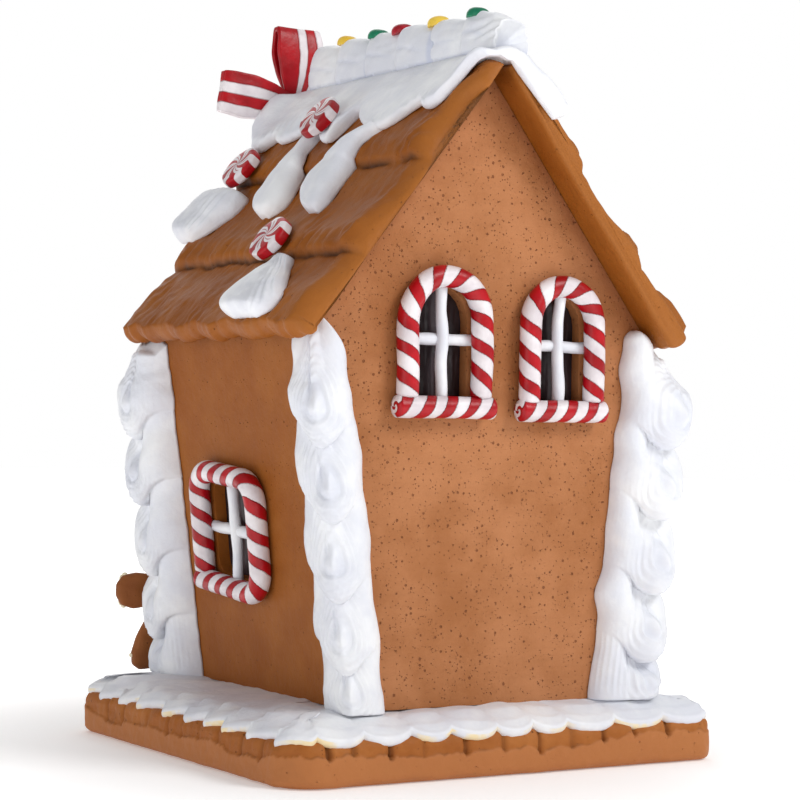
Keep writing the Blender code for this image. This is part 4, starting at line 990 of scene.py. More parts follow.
def makeDrop(name, side, shift, shape, node, seed):
    table = np.array(shape["edge"])
    first, last = table[0, 0], table[-1, 0]
    down = np.concatenate([first + 2.5 * (1 - np.cos(np.radians(np.linspace(0, 90, 7)))),
                           np.arange(first + 3.2, last - 3.6, 0.75),
                           last - 3.0 + 3.0 * np.sin(np.radians(np.linspace(0, 90, 9)))])
    near, far = smoothRun(table[:, [0, 1]], down), smoothRun(table[:, [0, 2]], down)
    middle, half = 0.5 * (near + far) + shift, 0.5 * (far - near)
    widest = half.max()
    closing = np.sqrt(np.clip(1 - np.clip((down - last + 3.2) / 3.2, 0, 1) ** 2, 0, 1))
    if not shape["open"]:
        closing = closing * np.sqrt(np.clip(1 - np.clip((first + 2.6 - down) / 2.6, 0, 1) ** 2, 0, 1))
    half = half * (0.80 + 0.20 * closing)
    rise = shape["thick"] * (0.25 + 0.75 * np.clip(half / widest, 0, 1) ** 0.7) * (0.35 + 0.65 * closing)
    angle = np.radians(np.linspace(0, 180, 46))
    across = np.sign(np.cos(angle)) * np.abs(np.cos(angle)) ** 0.72
    up = np.abs(np.sin(angle)) ** 0.70
    here = np.stack(np.broadcast_arrays(down[:, None], 12 * across[None, :] + 0 * down[:, None]), axis=-1)
    wobble = 0.38 * uneven(here, 22, seed) + 0.14 * uneven(here, 8, seed + 1)
    lines = np.sin(2 * np.pi * (shape["grooves"] * (across[None, :] * 1.0 + 0.012 * down[:, None])
                                + 0.25 * uneven(here, 30, seed + 2)))
    lines = shape["depth"] * lines * softStep(-across[None, :] * side * -1 + 0.35, -0.4, 0.6)
    base = courseTop(side, down) + 0.05
    # the icing bridges the step between two courses in one smooth sweep
    reach = np.arange(-14.0, 14.1, 1.0)
    weights = bell(reach, 7.5) / bell(reach, 7.5).sum()
    sweep = sum(w * courseTop(side, down + r) for w, r in zip(weights, reach))
    crest = np.maximum(sweep - base, -0.45 * rise)
    width = half[:, None] * across[None, :] * (1 + 0.025 * wobble)
    height = base[:, None] + ((rise + crest)[:, None] + (wobble + lines) * closing[:, None]) * up[None, :]
    under = np.linspace(-0.9, 0.9, 6)
    width = np.concatenate([width, half[:, None] * under[None, :]], axis=1)
    height = np.concatenate([height, base[:, None] - 0.2 + 0 * under[None, :]], axis=1)
    skin = Shells()
    skin.add(roofPoint(side, middle[:, None] + width, down[:, None], height))
    mount(skin.build(name, icingFinish), "icing", node)


for place, side, shift in (("left", -1, 0.0), ("right", 1, -6.0)):
    for number, letter in enumerate("abcd"):
        makeDrop("icing_run_%s_%s" % (place, letter), side, shift, dropShape[letter],
                 "drop_%s_%s" % (place, letter), 70 + 5 * number + side)
print("icing runs are on the slopes")

# --- corner icing ---
columnShape = dict(
    ends=(128.5, 100.0, 69.5, 42.0, 25.2), held=150.0, linePitch=1.9, lineDepth=0.50, lift=12.0,
    near_left=dict(side=-1, face=-1, top=178.0, topFall=15.0, eye=134.0, narrow=0.66, flutes=0.0,
                   held=((0, 0.06), (50, 0.15), (88, 0.80), (105, 1.0), (215, 1.0), (245, 0.6), (270, 0.2)),
                   reach=(12.6, 11.5, 11.0, 12.6, 10.4, 13.0, 20.0)),
    near_right=dict(side=1, face=-1, top=181.0, topFall=4.0, eye=128.0, narrow=0.50, flutes=0.40,
                    held=((0, 0.05), (40, 0.12), (70, 0.55), (92, 1.0), (215, 1.0), (245, 0.6), (270, 0.2)),
                    reach=(12.6, 12.0, 12.6, 20.0, 22.5, 23.0, 21.0)),
    far_left=dict(side=-1, face=1, top=178.0, topFall=8.0, eye=186.0, narrow=0.50, flutes=0.40,
                  held=((0, 0.1), (40, 0.4), (70, 0.8), (95, 1.0), (205, 1.0), (230, 0.45), (270, 0.06)),
                  reach=(12.6, 12.0, 12.0, 14.5, 14.5, 18.0, 23.0)),
    far_right=dict(side=1, face=1, top=178.0, topFall=8.0, eye=140.0, narrow=0.60, flutes=0.3,
                   held=((0, 0.06), (40, 0.3), (70, 0.8), (95, 1.0), (205, 1.0), (230, 0.5), (270, 0.1)),
                   reach=(12.6, 12.0, 12.0, 16.0, 16.5, 19.0, 23.0)))


def underRoof(side, x, y, z, top):
    limit = np.minimum(top, np.maximum(undersideZ(side, x, y) - 1.2, house["eaveZ"] - 0.8))
    held = columnShape["held"]
    return np.where(z < held, z, held + (z - held) * (limit - held) / (top - held))


def makeColumn(place, shape, seed):
    side, face, top = shape["side"], shape["face"], shape["top"]
    arc = np.linspace(0, 270, 120)
    reach = smoothRun(list(zip(np.arange(0, 271, 45.0), shape["reach"])), arc)
    held = smoothRun(shape["held"], arc)[None, :]
    cornerY = face * (house["wallY"] + house["gap"])
    luck = np.random.default_rng(seed)
    ends = columnShape["ends"]
    crest = top - shape["topFall"] * (1 - softStep(arc, 10, 85))
    rows = np.concatenate([[1.0, 0.999, 0.996], np.linspace(0.99, 0.0, 205)])
    z = ends[-1] + (crest - ends[-1])[None, :] * rows[:, None]
    swell, push, eyeShade, sag = (np.ones_like(z) * first for first in (1.0, 0.0, 0.0, 0.0))
    high = crest + 0.01
    for lobe, lower in enumerate(ends):
        last = lobe == len(ends) - 1
        eye = shape["eye"] + luck.uniform(-7, 7)
        aside = np.radians(arc - eye) * reach
        # the lower edge is a U below the eye, the same for every lobe
        rise = columnShape["lift"] * (1 - np.exp(-1.1 * (0.8 * aside / 11.5) ** 2))
        low = np.full_like(arc, lower - 0.01) if last else lower - 1.2 + rise
        mine = (z <= high[None, :]) & (z > low[None, :])
        share = np.clip((high[None, :] - z) / (high - low)[None, :], 0, 1)
        narrow = shape["narrow"]
        table = ((0.0, narrow), (0.2, narrow + 0.10), (0.42, 0.88), (0.62, 0.98), (0.74, 1.0), (0.86, 0.97),
                 (0.93, 0.88), (0.975, 0.76), (1.0, narrow))
        if lobe == 0:
            table = ((0.0, 0.36), (0.2, 0.44), (0.45, 0.66), (0.66, 0.93)) + table[4:]
        if last:
            table = table[:5] + ((0.9, 1.0), (0.97, 0.97), (1.0, 0.90))
        size = smoothRun(table, share) * (1 - 0.03 * lobe)
        eyeZ = lower + (ends[lobe - 1] - lower if lobe else 32.0) * 0.42 + luck.uniform(-1, 1)
        a, b = aside[None, :] + 0 * z, z - eyeZ
        ring = np.sqrt((0.80 * a) ** 2 + np.where(b > 0, 0.42 * b, b) ** 2)
        here = np.stack([a, b, 40.0 * lobe + 0 * a], axis=-1)
        sway = 0.5 * uneven(here, 24, seed + lobe)
        saw = ((ring + sway) / columnShape["linePitch"]) % 1.0
        lines = 2 * np.where(saw < 0.72, saw / 0.72, (1 - saw) / 0.28) - 1       # leaning steps
        strong = softStep(ring, 2.6, 4.6) * (1 - softStep(ring, 13.0, 18.0)) * (0.4 + 0.6 * softStep(-b, -3, 3))
        strong = strong * (1 - 0.75 * softStep(-a, 7, 14))
        mark = columnShape["lineDepth"] * lines * strong - 1.1 * bell(ring - 3.4, 1.4)
        mark = mark + 1.3 * np.exp(-((a + 0.3) / 1.5) ** 2 - ((b + 0.5) / 4.4) ** 2)
        mark = mark - 0.9 * bell(a - 2.6 - 0.12 * b, 0.9) * softStep(b, 1, 5) * (1 - softStep(b, 11, 16))
        if lobe == 0:
            mark = mark - (1.2 * bell(a - 3.5 - 0.05 * b, 1.0) + 0.9 * bell(a - 7.5, 0.9)) * softStep(b, 4, 12)
        if last:
            mark = mark + shape["flutes"] * np.sin(2 * np.pi * (a + sway) / 2.9) * softStep(z, 26, 32)
        mark = mark + 0.50 * uneven(here, 24, seed + 10 + lobe) + 0.10 * uneven(here, 7.5, seed + 20)
        swell, push = np.where(mine, size, swell), np.where(mine, mark, push)
        # painted shade: bluish grey in the hollow ring round each lobe's eye
        eyeShade = np.where(mine, 0.22 * bell(ring - 3.2, 1.8), eyeShade)
        if not last:
            sag = np.where(mine, 2.2 * bell(share - 0.90, 0.13), sag)
        high = low
    round_ = np.sqrt(np.clip(1 - (1 - np.clip((crest[None, :] - z) / 6.0, 0.01, 1)) ** 2, 0, 1))
    out = reach[None, :] * (1 - held * (1 - swell)) + push * (0.15 + 0.85 * held)
    edgeWave = 1.0 * unevenLine(z, 33, seed + 31) + 0.4 * unevenLine(z, 13, seed + 32)
    out = out + edgeWave * (1 - softStep(arc, 0, 70) + softStep(arc, 215, 270))[None, :]
    out = out * (0.30 + 0.70 * round_)
    z = z - sag * held
    turn = np.radians(arc)[None, :]
    acrossX, alongY = -side * out * np.cos(turn), face * out * np.sin(turn)
    zz = underRoof(side, wallX(side, z) + acrossX, cornerY + alongY, z, top)
    grid = np.stack([wallX(side, zz) + side * house["gap"] + acrossX, cornerY + alongY, zz], axis=-1)
    spineZ = zz.mean(axis=1, keepdims=True)
    spine = np.stack([wallX(side, spineZ) + side * house["gap"], np.full_like(spineZ, cornerY), spineZ], -1)
    eyeShade = np.concatenate([eyeShade, np.zeros((len(rows), 1))], axis=1)
    skin = Shells()
    skin.add(np.concatenate([grid, spine], axis=1), {"hollow": eyeShade})
    mount(skin.build("corner_lobes_" + place, icingFinish), "icing", "corner_icing_" + place)


for number, place in enumerate(("near_left", "near_right", "far_left", "far_right")):
    makeColumn(place, columnShape[place], 200 + 40 * number)
print("corner icing is piped")


# --- geometry node trees: a rope along a path, and a turned sweet ---
class NodeBench:
    # a node tree under construction, with named inputs
    def __init__(self, name, inputs):
        self.tree = bpy.data.node_groups.new(name, "GeometryNodeTree")
        face = self.tree.interface
        face.new_socket("Geometry", in_out="INPUT", socket_type="NodeSocketGeometry")
        for label, kind, value in inputs:
            socket = face.new_socket(label, in_out="INPUT", socket_type="NodeSocket" + kind)
            if value is not None:
                socket.default_value = value
        face.new_socket("Geometry", in_out="OUTPUT", socket_type="NodeSocketGeometry")
        self.given = self.tree.nodes.new("NodeGroupInput").outputs

    def add(self, kind, inputs, output=0, **settings):
        node = self.tree.nodes.new(kind)
        for key, value in settings.items():
            setattr(node, key, value)
        for key, value in inputs.items():
            if isinstance(value, bpy.types.NodeSocket):
                self.tree.links.new(value, node.inputs[key])
            else:
                node.inputs[key].default_value = value
        return node.outputs[output]

    def math(self, operation, first, second=0.0, third=0.0):
        return self.add("ShaderNodeMath", {0: first, 1: second, 2: third}, operation=operation)

    def capture(self, geometry, value, kind="FLOAT"):
        node = self.tree.nodes.new("GeometryNodeCaptureAttribute")
        node.capture_items.new(kind, "kept")
        self.tree.links.new(geometry, node.inputs[0])
        self.tree.links.new(value, node.inputs[1])
        return node.outputs[0], node.outputs[1]

    def store(self, geometry, name, value):
        node = self.tree.nodes.new("GeometryNodeStoreNamedAttribute")
        node.data_type, node.domain = "FLOAT_VECTOR", "POINT"
        self.tree.links.new(geometry, node.inputs["Geometry"])
        node.inputs["Name"].default_value = name
        self.tree.links.new(value, node.inputs["Value"])
        return node.outputs[0]

    def end(self, geometry):
        geometry = self.add("GeometryNodeSetShadeSmooth", {"Geometry": geometry})
        geometry = self.add("GeometryNodeRealizeInstances", {"Geometry": geometry})
        geometry = self.add("GeometryNodeSetMaterial", {"Geometry": geometry, "Material": self.given["Finish"]})
        out = self.tree.nodes.new("NodeGroupOutput")
        self.tree.links.new(geometry, out.inputs[0])
        return self.tree


def ropeTree():
    bench = NodeBench("ropeAlongPath", (
        ("Rope Radius", "Float", 0.0044), ("Step", "Float", 0.0007), ("Sides", "Int", 22),
        ("Unevenness", "Float", 0.05), ("End Rounding", "Float", 0.0012), ("Seed", "Float", 1.0),
        ("Outward", "Vector", None), ("Finish", "Material", None)))
    given = bench.given
    spot = bench.tree.nodes.new("GeometryNodeInputPosition").outputs[0]
    path = bench.add("GeometryNodeResampleCurve", {"Curve": given["Geometry"], "Length": given["Step"]},
                     mode="LENGTH")
    length = bench.tree.nodes.new("GeometryNodeSplineParameter").outputs["Length"]
    whole = bench.tree.nodes.new("GeometryNodeSplineLength").outputs["Length"]
    path, along = bench.capture(path, length)
    path, centre = bench.capture(path, spot, "VECTOR")
    path, heading = bench.capture(path, bench.tree.nodes.new("GeometryNodeInputTangent").outputs[0], "VECTOR")
    fromEnd = bench.math("MINIMUM", length, bench.math("SUBTRACT", whole, length))
    closing = bench.math("DIVIDE", fromEnd, given["End Rounding"])
    closing = bench.math("MINIMUM", closing, 1.0)
    closing = bench.math("SUBTRACT", 1.0, bench.math("POWER", bench.math("SUBTRACT", 1.0, closing), 2.0))
    closing = bench.math("MULTIPLY_ADD", bench.math("SQRT", closing), 0.38, 0.62)
    swell = bench.add("ShaderNodeTexNoise", {"Vector": spot, "W": given["Seed"], "Scale": 75.0,
                                             "Detail": 1.0}, noise_dimensions="4D")
    swell = bench.math("MULTIPLY_ADD", bench.math("SUBTRACT", swell, 0.5), given["Unevenness"], 1.0)
    thickness = bench.math("MULTIPLY", bench.math("MULTIPLY", swell, closing), given["Rope Radius"])
    profile = bench.add("GeometryNodeCurvePrimitiveCircle", {"Resolution": given["Sides"], "Radius": 1.0})
    tube = bench.add("GeometryNodeCurveToMesh", {"Curve": path, "Profile Curve": profile,
                                                 "Scale": thickness, "Fill Caps": True})

    def vector(operation, first, second, output=0):
        return bench.add("ShaderNodeVectorMath", {0: first, 1: second}, output, operation=operation)
    # the angle round the rope is counted from the side that faces out
    away = bench.add("ShaderNodeVectorMath", {0: vector("SUBTRACT", spot, centre)}, operation="NORMALIZE")
    aside = vector("CROSS_PRODUCT", heading, given["Outward"])
    wrap = bench.add("ShaderNodeCombineXYZ", {0: vector("DOT_PRODUCT", away, given["Outward"], 1),
                                              1: vector("DOT_PRODUCT", away, aside, 1),
                                              2: bench.math("MULTIPLY", along, 1000.0)})
    return bench.end(bench.store(tube, "wrap", wrap))


def sweetTree():
    # a ball squared off into a disc or a dome, with a lobed rim, turned and set in place
    bench = NodeBench("turnedSweet", (
        ("Radius", "Float", 0.0101), ("Thickness", "Float", 0.0055), ("Squareness", "Float", 0.45),
        ("Flat Foot", "Float", 0.0), ("Rim Lobes", "Float", 6.0), ("Lobe Depth", "Float", 0.02),
        ("Unevenness", "Float", 0.0004), ("Seed", "Float", 1.0), ("Turn", "Vector", None),
        ("Place", "Vector", None), ("Finish", "Material", None)))
    given = bench.given
    ball = bench.add("GeometryNodeMeshUVSphere", {"Segments": 72, "Rings": 40, "Radius": 1.0})
    spot = bench.tree.nodes.new("GeometryNodeInputPosition").outputs[0]
    east, north, high = bench.add("ShaderNodeSeparateXYZ", {0: spot}).node.outputs
    flat = bench.math("SQRT", bench.math("ADD", bench.math("MULTIPLY", east, east),
                                         bench.math("MULTIPLY", north, north)))
    flat = bench.math("MAXIMUM", flat, 0.0001)
    wide = bench.math("DIVIDE", bench.math("POWER", flat, given["Squareness"]), flat)
    tall = bench.math("MULTIPLY", bench.math("SIGN", high), bench.math(
        "POWER", bench.math("ABSOLUTE", high), bench.math("ADD", given["Squareness"], 0.15)))
    tall = bench.math("MAXIMUM", tall, bench.math("SUBTRACT", given["Flat Foot"], 1.0))
    turn = bench.math("ARCTAN2", north, east)
    lobe = bench.math("COSINE", bench.math("MULTIPLY", turn, given["Rim Lobes"]))
    wide = bench.math("MULTIPLY", wide, bench.math("MULTIPLY_ADD", lobe, given["Lobe Depth"], 1.0))
    x, y = bench.math("MULTIPLY", east, wide), bench.math("MULTIPLY", north, wide)
    wheel = bench.add("ShaderNodeCombineXYZ", {0: x, 1: y, 2: tall})
    ball = bench.store(ball, "wheel", wheel)
    shape = bench.add("ShaderNodeCombineXYZ", {
        0: bench.math("MULTIPLY", x, given["Radius"]), 1: bench.math("MULTIPLY", y, given["Radius"]),
        2: bench.math("MULTIPLY", tall, bench.math("MULTIPLY", given["Thickness"], 0.5))})
    sweet = bench.add("GeometryNodeSetPosition", {"Geometry": ball, "Position": shape})
    bumps = bench.add("ShaderNodeTexNoise", {"Vector": bench.tree.nodes.new(
        "GeometryNodeInputPosition").outputs[0], "W": given["Seed"], "Scale": 160.0, "Detail": 2.0},
        noise_dimensions="4D")
    push = bench.math("MULTIPLY", bench.math("SUBTRACT", bumps, 0.5), given["Unevenness"])
    away = bench.add("ShaderNodeVectorMath", {0: bench.tree.nodes.new("GeometryNodeInputNormal").outputs[0],
                                              "Scale": push}, operation="SCALE")
    sweet = bench.add("GeometryNodeSetPosition", {"Geometry": sweet, "Offset": away})
    sweet = bench.add("GeometryNodeTransform", {"Geometry": sweet, "Translation": given["Place"],
                                                "Rotation": given["Turn"]})
    return bench.end(sweet)


def grow(name, start, tree, inputs):
    # run a tree on a starting object and keep the result as a plain mesh
    scene.collection.objects.link(start)
    modifier = start.modifiers.new("nodes", "NODES")
    modifier.node_group = tree
    for item in tree.interface.items_tree:
        if item.in_out == "INPUT" and item.name in inputs:
            modifier[item.identifier] = inputs[item.name]
    bpy.context.view_layer.update()
    made = bpy.data.meshes.new_from_object(start.evaluated_get(bpy.context.evaluated_depsgraph_get()))
    bpy.data.objects.remove(start)
    made.name = name
    piece = bpy.data.objects.new(name, made)
    scene.collection.objects.link(piece)
    return piece


def pathCurve(name, paths):
    curve = bpy.data.curves.new(name + "Path", "CURVE")
    curve.dimensions = "3D"
    for path in paths:
        spline = curve.splines.new("POLY")
        spline.points.add(len(path) - 1)
        for knot, spot in zip(spline.points, path):
            knot.co = tuple(float(c) * mm for c in spot) + (1.0,)
    return bpy.data.objects.new(name + "Path", curve)


ropes, sweets = ropeTree(), sweetTree()


def makeRope(name, paths, radius, finish, seed, outward=(0, -1, 0), unevenness=0.10, rounding=1.2,
             step=0.7, sides=22):
    return grow(name, pathCurve(name, paths), ropes, {"Outward": tuple(float(c) for c in outward),
        "Rope Radius": radius * mm, "Step": step * mm, "Sides": sides, "Unevenness": unevenness,
        "End Rounding": rounding * mm, "Seed": float(seed), "Finish": finish})


# --- windows ---
windowShape = dict(arches=((-26.1, 17.0, 142.8, 193.9), (29.6, 15.7, 141.8, 192.1)), overhang=5.4,
                   barRadius=2.35, side=(5.5, 90.5, 24.2, 23.3, 10.0, 4.0))


def wander(points, amount, seed):
    points = np.array(points, float)
    for axis in range(3):
        points[:, axis] += amount * uneven(points, 26, seed + axis)
    return points


def makeGableWindows(place, face, seed):
    ropeY = face * (house["wallY"] + house["gap"] + house["rope"])
    for label, (centre, half, sill, top) in zip(("left", "right"), windowShape["arches"]):
        foot, spring = sill + house["rope"] - 0.9, top - half
        turn = np.radians(np.linspace(180, 0, 60))
        arch = np.stack([centre + half * np.cos(turn), np.full(60, ropeY), spring + half * np.sin(turn)], -1)
        leg = np.linspace(foot, spring, 14)[:-1]
        leftLeg = np.stack([np.full(13, centre - half), np.full(13, ropeY), leg], axis=-1)
        rightLeg = np.stack([np.full(13, centre + half), np.full(13, ropeY), leg[::-1]], axis=-1)
        rope = wander(np.concatenate([leftLeg, arch, rightLeg]), 0.25, seed)
        if face > 0:
            rope = rope[::-1]
        piece = makeRope("arch_rope_%s_%s" % (place, label), [rope], house["rope"], ropeFinish, seed, (0, face, 0))
        mount(piece, "candy_red", "arch_%s_%s" % (place, label))
        reach = half + windowShape["overhang"]
        x = np.linspace(centre - reach, centre + reach, 30) * 1.0
        bar = wander(np.stack([x, np.full(30, ropeY), np.full(30, sill)], axis=-1), 0.22, seed + 5)
        if face > 0:
            bar = bar[::-1]
        piece = makeRope("sill_rope_%s_%s" % (place, label), [bar], house["rope"], sillFinish, seed + 5, (0, face, 0))
        mount(piece, "candy_red", "sill_%s_%s" % (place, label))
        middle = 0.5 * (sill + top) + 1.0
        barY = face * (house["wallY"] + 0.2)
        up = np.linspace(sill + 3.0, top - 2.0, 30)
        upright = wander(np.stack([np.full(30, centre), np.full(30, barY + face * 1.6), up], -1), 0.5, seed + 9)
        side = np.linspace(centre - half + 1.6, centre + half - 1.6, 24)
        level = wander(np.stack([side, np.full(24, barY - face * 0.3), np.full(24, middle)], -1), 0.4, seed + 13)
        piece = makeRope("window_bars_%s_%s" % (place, label), [upright, level], windowShape["barRadius"],
                         icingFinish, seed + 3, unevenness=0.5, rounding=0.8, sides=18)
        mount(piece, "icing", "muntin_%s_%s" % (place, label))
        seed += 20


def onSideWall(side, y, z, out):
    y, z = np.asarray(y, float), np.asarray(z, float)
    return np.stack([wallX(side, z) + side * out, y, z], axis=-1)


def makeSideWindow(place, side, seed):
    midY, midZ, halfY, halfZ, corner, tilt = windowShape["side"]
    lift = house["gap"] + house["rope"] * math.hypot(1.0, house["flare"] + abs(house["lean"]))
    path = [(halfY, -halfZ + house["rope"] - 0.9)]
    for sy, sz, start in ((1, 1, 0), (-1, 1, 90), (-1, -1, 180)):
        for angle in np.radians(np.linspace(start, start + 90, 20)):
            path.append((sy * (halfY - corner) + corner * math.cos(angle),
                         sz * (halfZ - corner) + corner * math.sin(angle)))
    path.append((halfY + house["rope"], -halfZ))
    cosT, sinT = math.cos(math.radians(tilt)), math.sin(math.radians(tilt))

    def turned(points):
        a, b = np.array(points, float).T
        return midY + a * cosT - b * sinT, midZ + a * sinT + b * cosT
    rope = wander(onSideWall(side, *turned(path), lift), 0.2, seed)
    if side > 0:
        rope = rope[::-1]
    piece = makeRope("frame_rope_" + place, [rope], house["rope"], frameFinish, seed, (side, 0, 0))
    mount(piece, "candy_red", "frame_" + place)
    up = np.linspace(-halfZ + 2.0, halfZ - 2.0, 30)
    across = np.linspace(-halfY + 1.8, halfY - 1.8, 30)
    upright = wander(onSideWall(side, *turned(np.stack([0 * up, up], -1)), 1.6), 0.7, seed + 4)
    level = wander(onSideWall(side, *turned(np.stack([across, 0 * across], -1)), 0.2), 0.5, seed + 8)
    piece = makeRope("window_bars_" + place, [upright, level], windowShape["barRadius"], icingFinish, seed + 2,
                     unevenness=0.5, rounding=0.8, sides=18)
    mount(piece, "icing", "muntin_" + place)


makeGableWindows("near", -1, 300)
makeGableWindows("far", 1, 360)
makeSideWindow("left", -1, 420)
makeSideWindow("right", 1, 440)
print("windows are framed")

# --- sweets ---
buttonShape = dict(radius=4.8, height=6.8,
                   row=((-67.0, "candy_green"), (-36.0, "candy_yellow"), (-6.0, "candy_red"),
                        (15.0, "candy_green"), (43.0, "candy_yellow")))
mintShape = dict(radius=10.1, thick=5.5, places=((4.5, 32.5, 14.8), (64.0, 50.4, 10.3), (-23.0, 97.0, 10.6)))


def makeSweet(name, place, turn, radius, thick, finish, seed, squareness, foot, lobes, lobeDepth):
    start = bpy.data.objects.new(name + "Start", bpy.data.meshes.new(name + "Start"))
    return grow(name, start, sweets, {
        "Radius": radius * mm, "Thickness": thick * mm, "Squareness": squareness, "Flat Foot": foot,
        "Rim Lobes": float(lobes), "Lobe Depth": lobeDepth, "Unevenness": 0.0006, "Seed": float(seed),
        "Turn": tuple(turn), "Place": tuple(float(c) * mm for c in place), "Finish": finish})


for number, (y, slotName) in enumerate(buttonShape["row"], 1):
    low, high = boxOf("ridge_candy_%d" % number)
    middle = 0.5 * (low + high)
    lean = np.random.default_rng(number).uniform(-0.10, 0.10, 3)
    piece = makeSweet("sugar_button_%d" % number, (middle[0], middle[1], low[2] - 0.2), lean,
                      buttonShape["radius"], buttonShape["height"], buttonFinishes[slotName], number,
                      0.72, 0.75, 3, 0.012)
    mount(piece, slotName, "ridge_candy_%d" % number)

for sideName, side, shift in (("left", -1, 0.0), ("right", 1, -6.0)):
    for number, (y, down, low) in enumerate(mintShape["places"], 1):
        lift = low + 0.5 * mintShape["thick"] + 0.9 * (side > 0)
        spot = roofPoint(side, y + shift, down, lift)
        tilt = math.pi / 2 - slopeAngle
        turn = Matrix.Rotation(side * slopeAngle, 3, "Y") @ Matrix.Rotation(0.5 + 1.3 * number, 3, "Z")
        piece = makeSweet("mint_%s_%d_wheel" % (sideName, number), spot, turn.to_euler(), mintShape["radius"],
                          mintShape["thick"], mintFinish, 10 + number, 0.30, 0.0, 6, 0.018)
        mount(piece, "candy_red", "mint_%s_%d" % (sideName, number))
print("sweets are set")

# --- bow ---
bowShape = dict(knot=(0.0, 88.2, 276.0), thick=2.3, lean=6.0,
                stations=((0.02, -0.16, 0.50), (0.16, -0.31, 0.66), (0.35, -0.43, 0.86), (0.65, -0.5, 1.0),
                          (0.88, -0.42, 0.98), (0.985, -0.17, 0.95), (0.985, 0.17, 0.93), (0.88, 0.42, 0.92),
                          (0.65, 0.5, 0.95), (0.35, 0.42, 0.82), (0.16, 0.30, 0.62), (0.02, 0.16, 0.48)))


def makeLoop(name, base, along, across, facing, length, width, depth, finish, node, seed):
    stations = np.array(bowShape["stations"])
    steps = np.linspace(0, len(stations) - 1, 110)
    far, aside, spread = (smoothRun(np.stack([np.arange(len(stations)), stations[:, k]], -1), steps)
                          for k in range(3))
    a, d, half = length * far, depth * aside, 0.5 * width * spread
    stepA, stepD = np.gradient(a), np.gradient(d)
    size = np.hypot(stepA, stepD)
    inA, inD = -stepD / size, stepA / size
    thick = bowShape["thick"]
    # a flat ribbon's section with round edges
    corner = np.radians(np.linspace(-90, 90, 9))
    flat = np.linspace(-0.94, 0.94, 30)[1:-1]
    w = np.concatenate([flat, 0.94 + 0.06 * np.cos(corner), flat[::-1], -0.94 - 0.06 * np.cos(corner)])
    h = np.concatenate([np.zeros(28), 0.5 + 0.5 * np.sin(corner), np.ones(28), 0.5 - 0.5 * np.sin(corner)])
    here = np.stack(np.broadcast_arrays(a[:, None], 12 * w[None, :], d[:, None]), -1)
    ripple = 0.25 * uneven(here, 17, seed)
    depthIn = thick * h[None, :] + ripple
    aa = a[:, None] + inA[:, None] * depthIn
    dd = d[:, None] + inD[:, None] * depthIn
    ww = half[:, None] * w[None, :] * (1 + 0.02 * uneven(here, 13, seed + 1))
    ww = ww + 0.5 * np.sin(a / length * 3.0)[:, None]
    spots = np.array(base) + aa[..., None] * np.array(along) + ww[..., None] * np.array(across) \
        + dd[..., None] * np.array(facing)
    skin = Shells()
    skin.add(spots, {"across": np.broadcast_to(w[None, :], aa.shape)})
    mount(skin.build(name, finish), "candy_red", node)


def makeKnot():
    knot = np.array(bowShape["knot"])
    t = np.concatenate([[-1.0], np.sin(np.radians(np.linspace(-80, 80, 40))), [1.0]])
    round_ = np.radians(np.linspace(0, 360, 56, endpoint=False))
    fat = np.sqrt(np.clip(1 - np.abs(t) ** 3.2, 0.02, 1))[:, None]
    here = np.stack(np.broadcast_arrays(6 * t[:, None], 5 * np.cos(round_)[None, :],
                                        5 * np.sin(round_)[None, :]), -1)
    bump = 1 + 0.05 * uneven(here, 7, 91) - 0.05 * bell(np.cos(round_ * 1.0) - 0.3, 0.12)[None, :]
    x = knot[0] + 4.8 * fat * bump * np.cos(round_)[None, :]
    y = knot[1] + 3.4 * fat * bump * np.sin(round_)[None, :]
    z = knot[2] + 6.6 * t[:, None] + 0 * x
    skin = Shells()
    skin.add(np.stack([x, y, z], -1), {"across": np.broadcast_to(t[:, None], x.shape)}, fan=True)
    mount(skin.build("bow_knot_ribbon", knotRibbon), "candy_red", "bow_knot")


knot = bowShape["knot"]
lean = math.radians(bowShape["lean"])
for name, way, node in (("bow_left_ribbon", -1, "bow_loop_left"), ("bow_right_ribbon", 1, "bow_loop_right")):
    makeLoop(name, (way * 4.2, knot[1], knot[2] + 2.5), (way * math.cos(lean), 0, math.sin(lean)),
             (way * math.sin(lean), 0, -math.cos(lean)), (0, 1, 0), 36.6, 20.0, 8.4, sideRibbon, node, 95 + way)
makeLoop("bow_up_ribbon", (-2.0, knot[1], knot[2] + 6.6), (0, 0, 1), (1, 0, 0), (0, 1, 0), 31.0, 23.0, 9.0,
         upRibbon, "bow_loop_up", 98)
makeKnot()
print("bow is tied")

# --- gingerbread man by the far gable ---
manShape = dict(centre=-57.5, back=87.2, front=92.6, voxel=0.75, buttonRadius=2.0,
                half=((1.5, 8.0), (3.5, 0.8), (17.0, 0.0), (20.3, 2.6), (20.6, 8.0), (18.0, 15.0),
                      (13.5, 23.0), (13.8, 27.6), (20.5, 26.8), (26.0, 28.6), (28.6, 33.0), (28.2, 38.2),
                      (25.0, 41.8), (19.0, 42.8), (9.0, 41.5)))


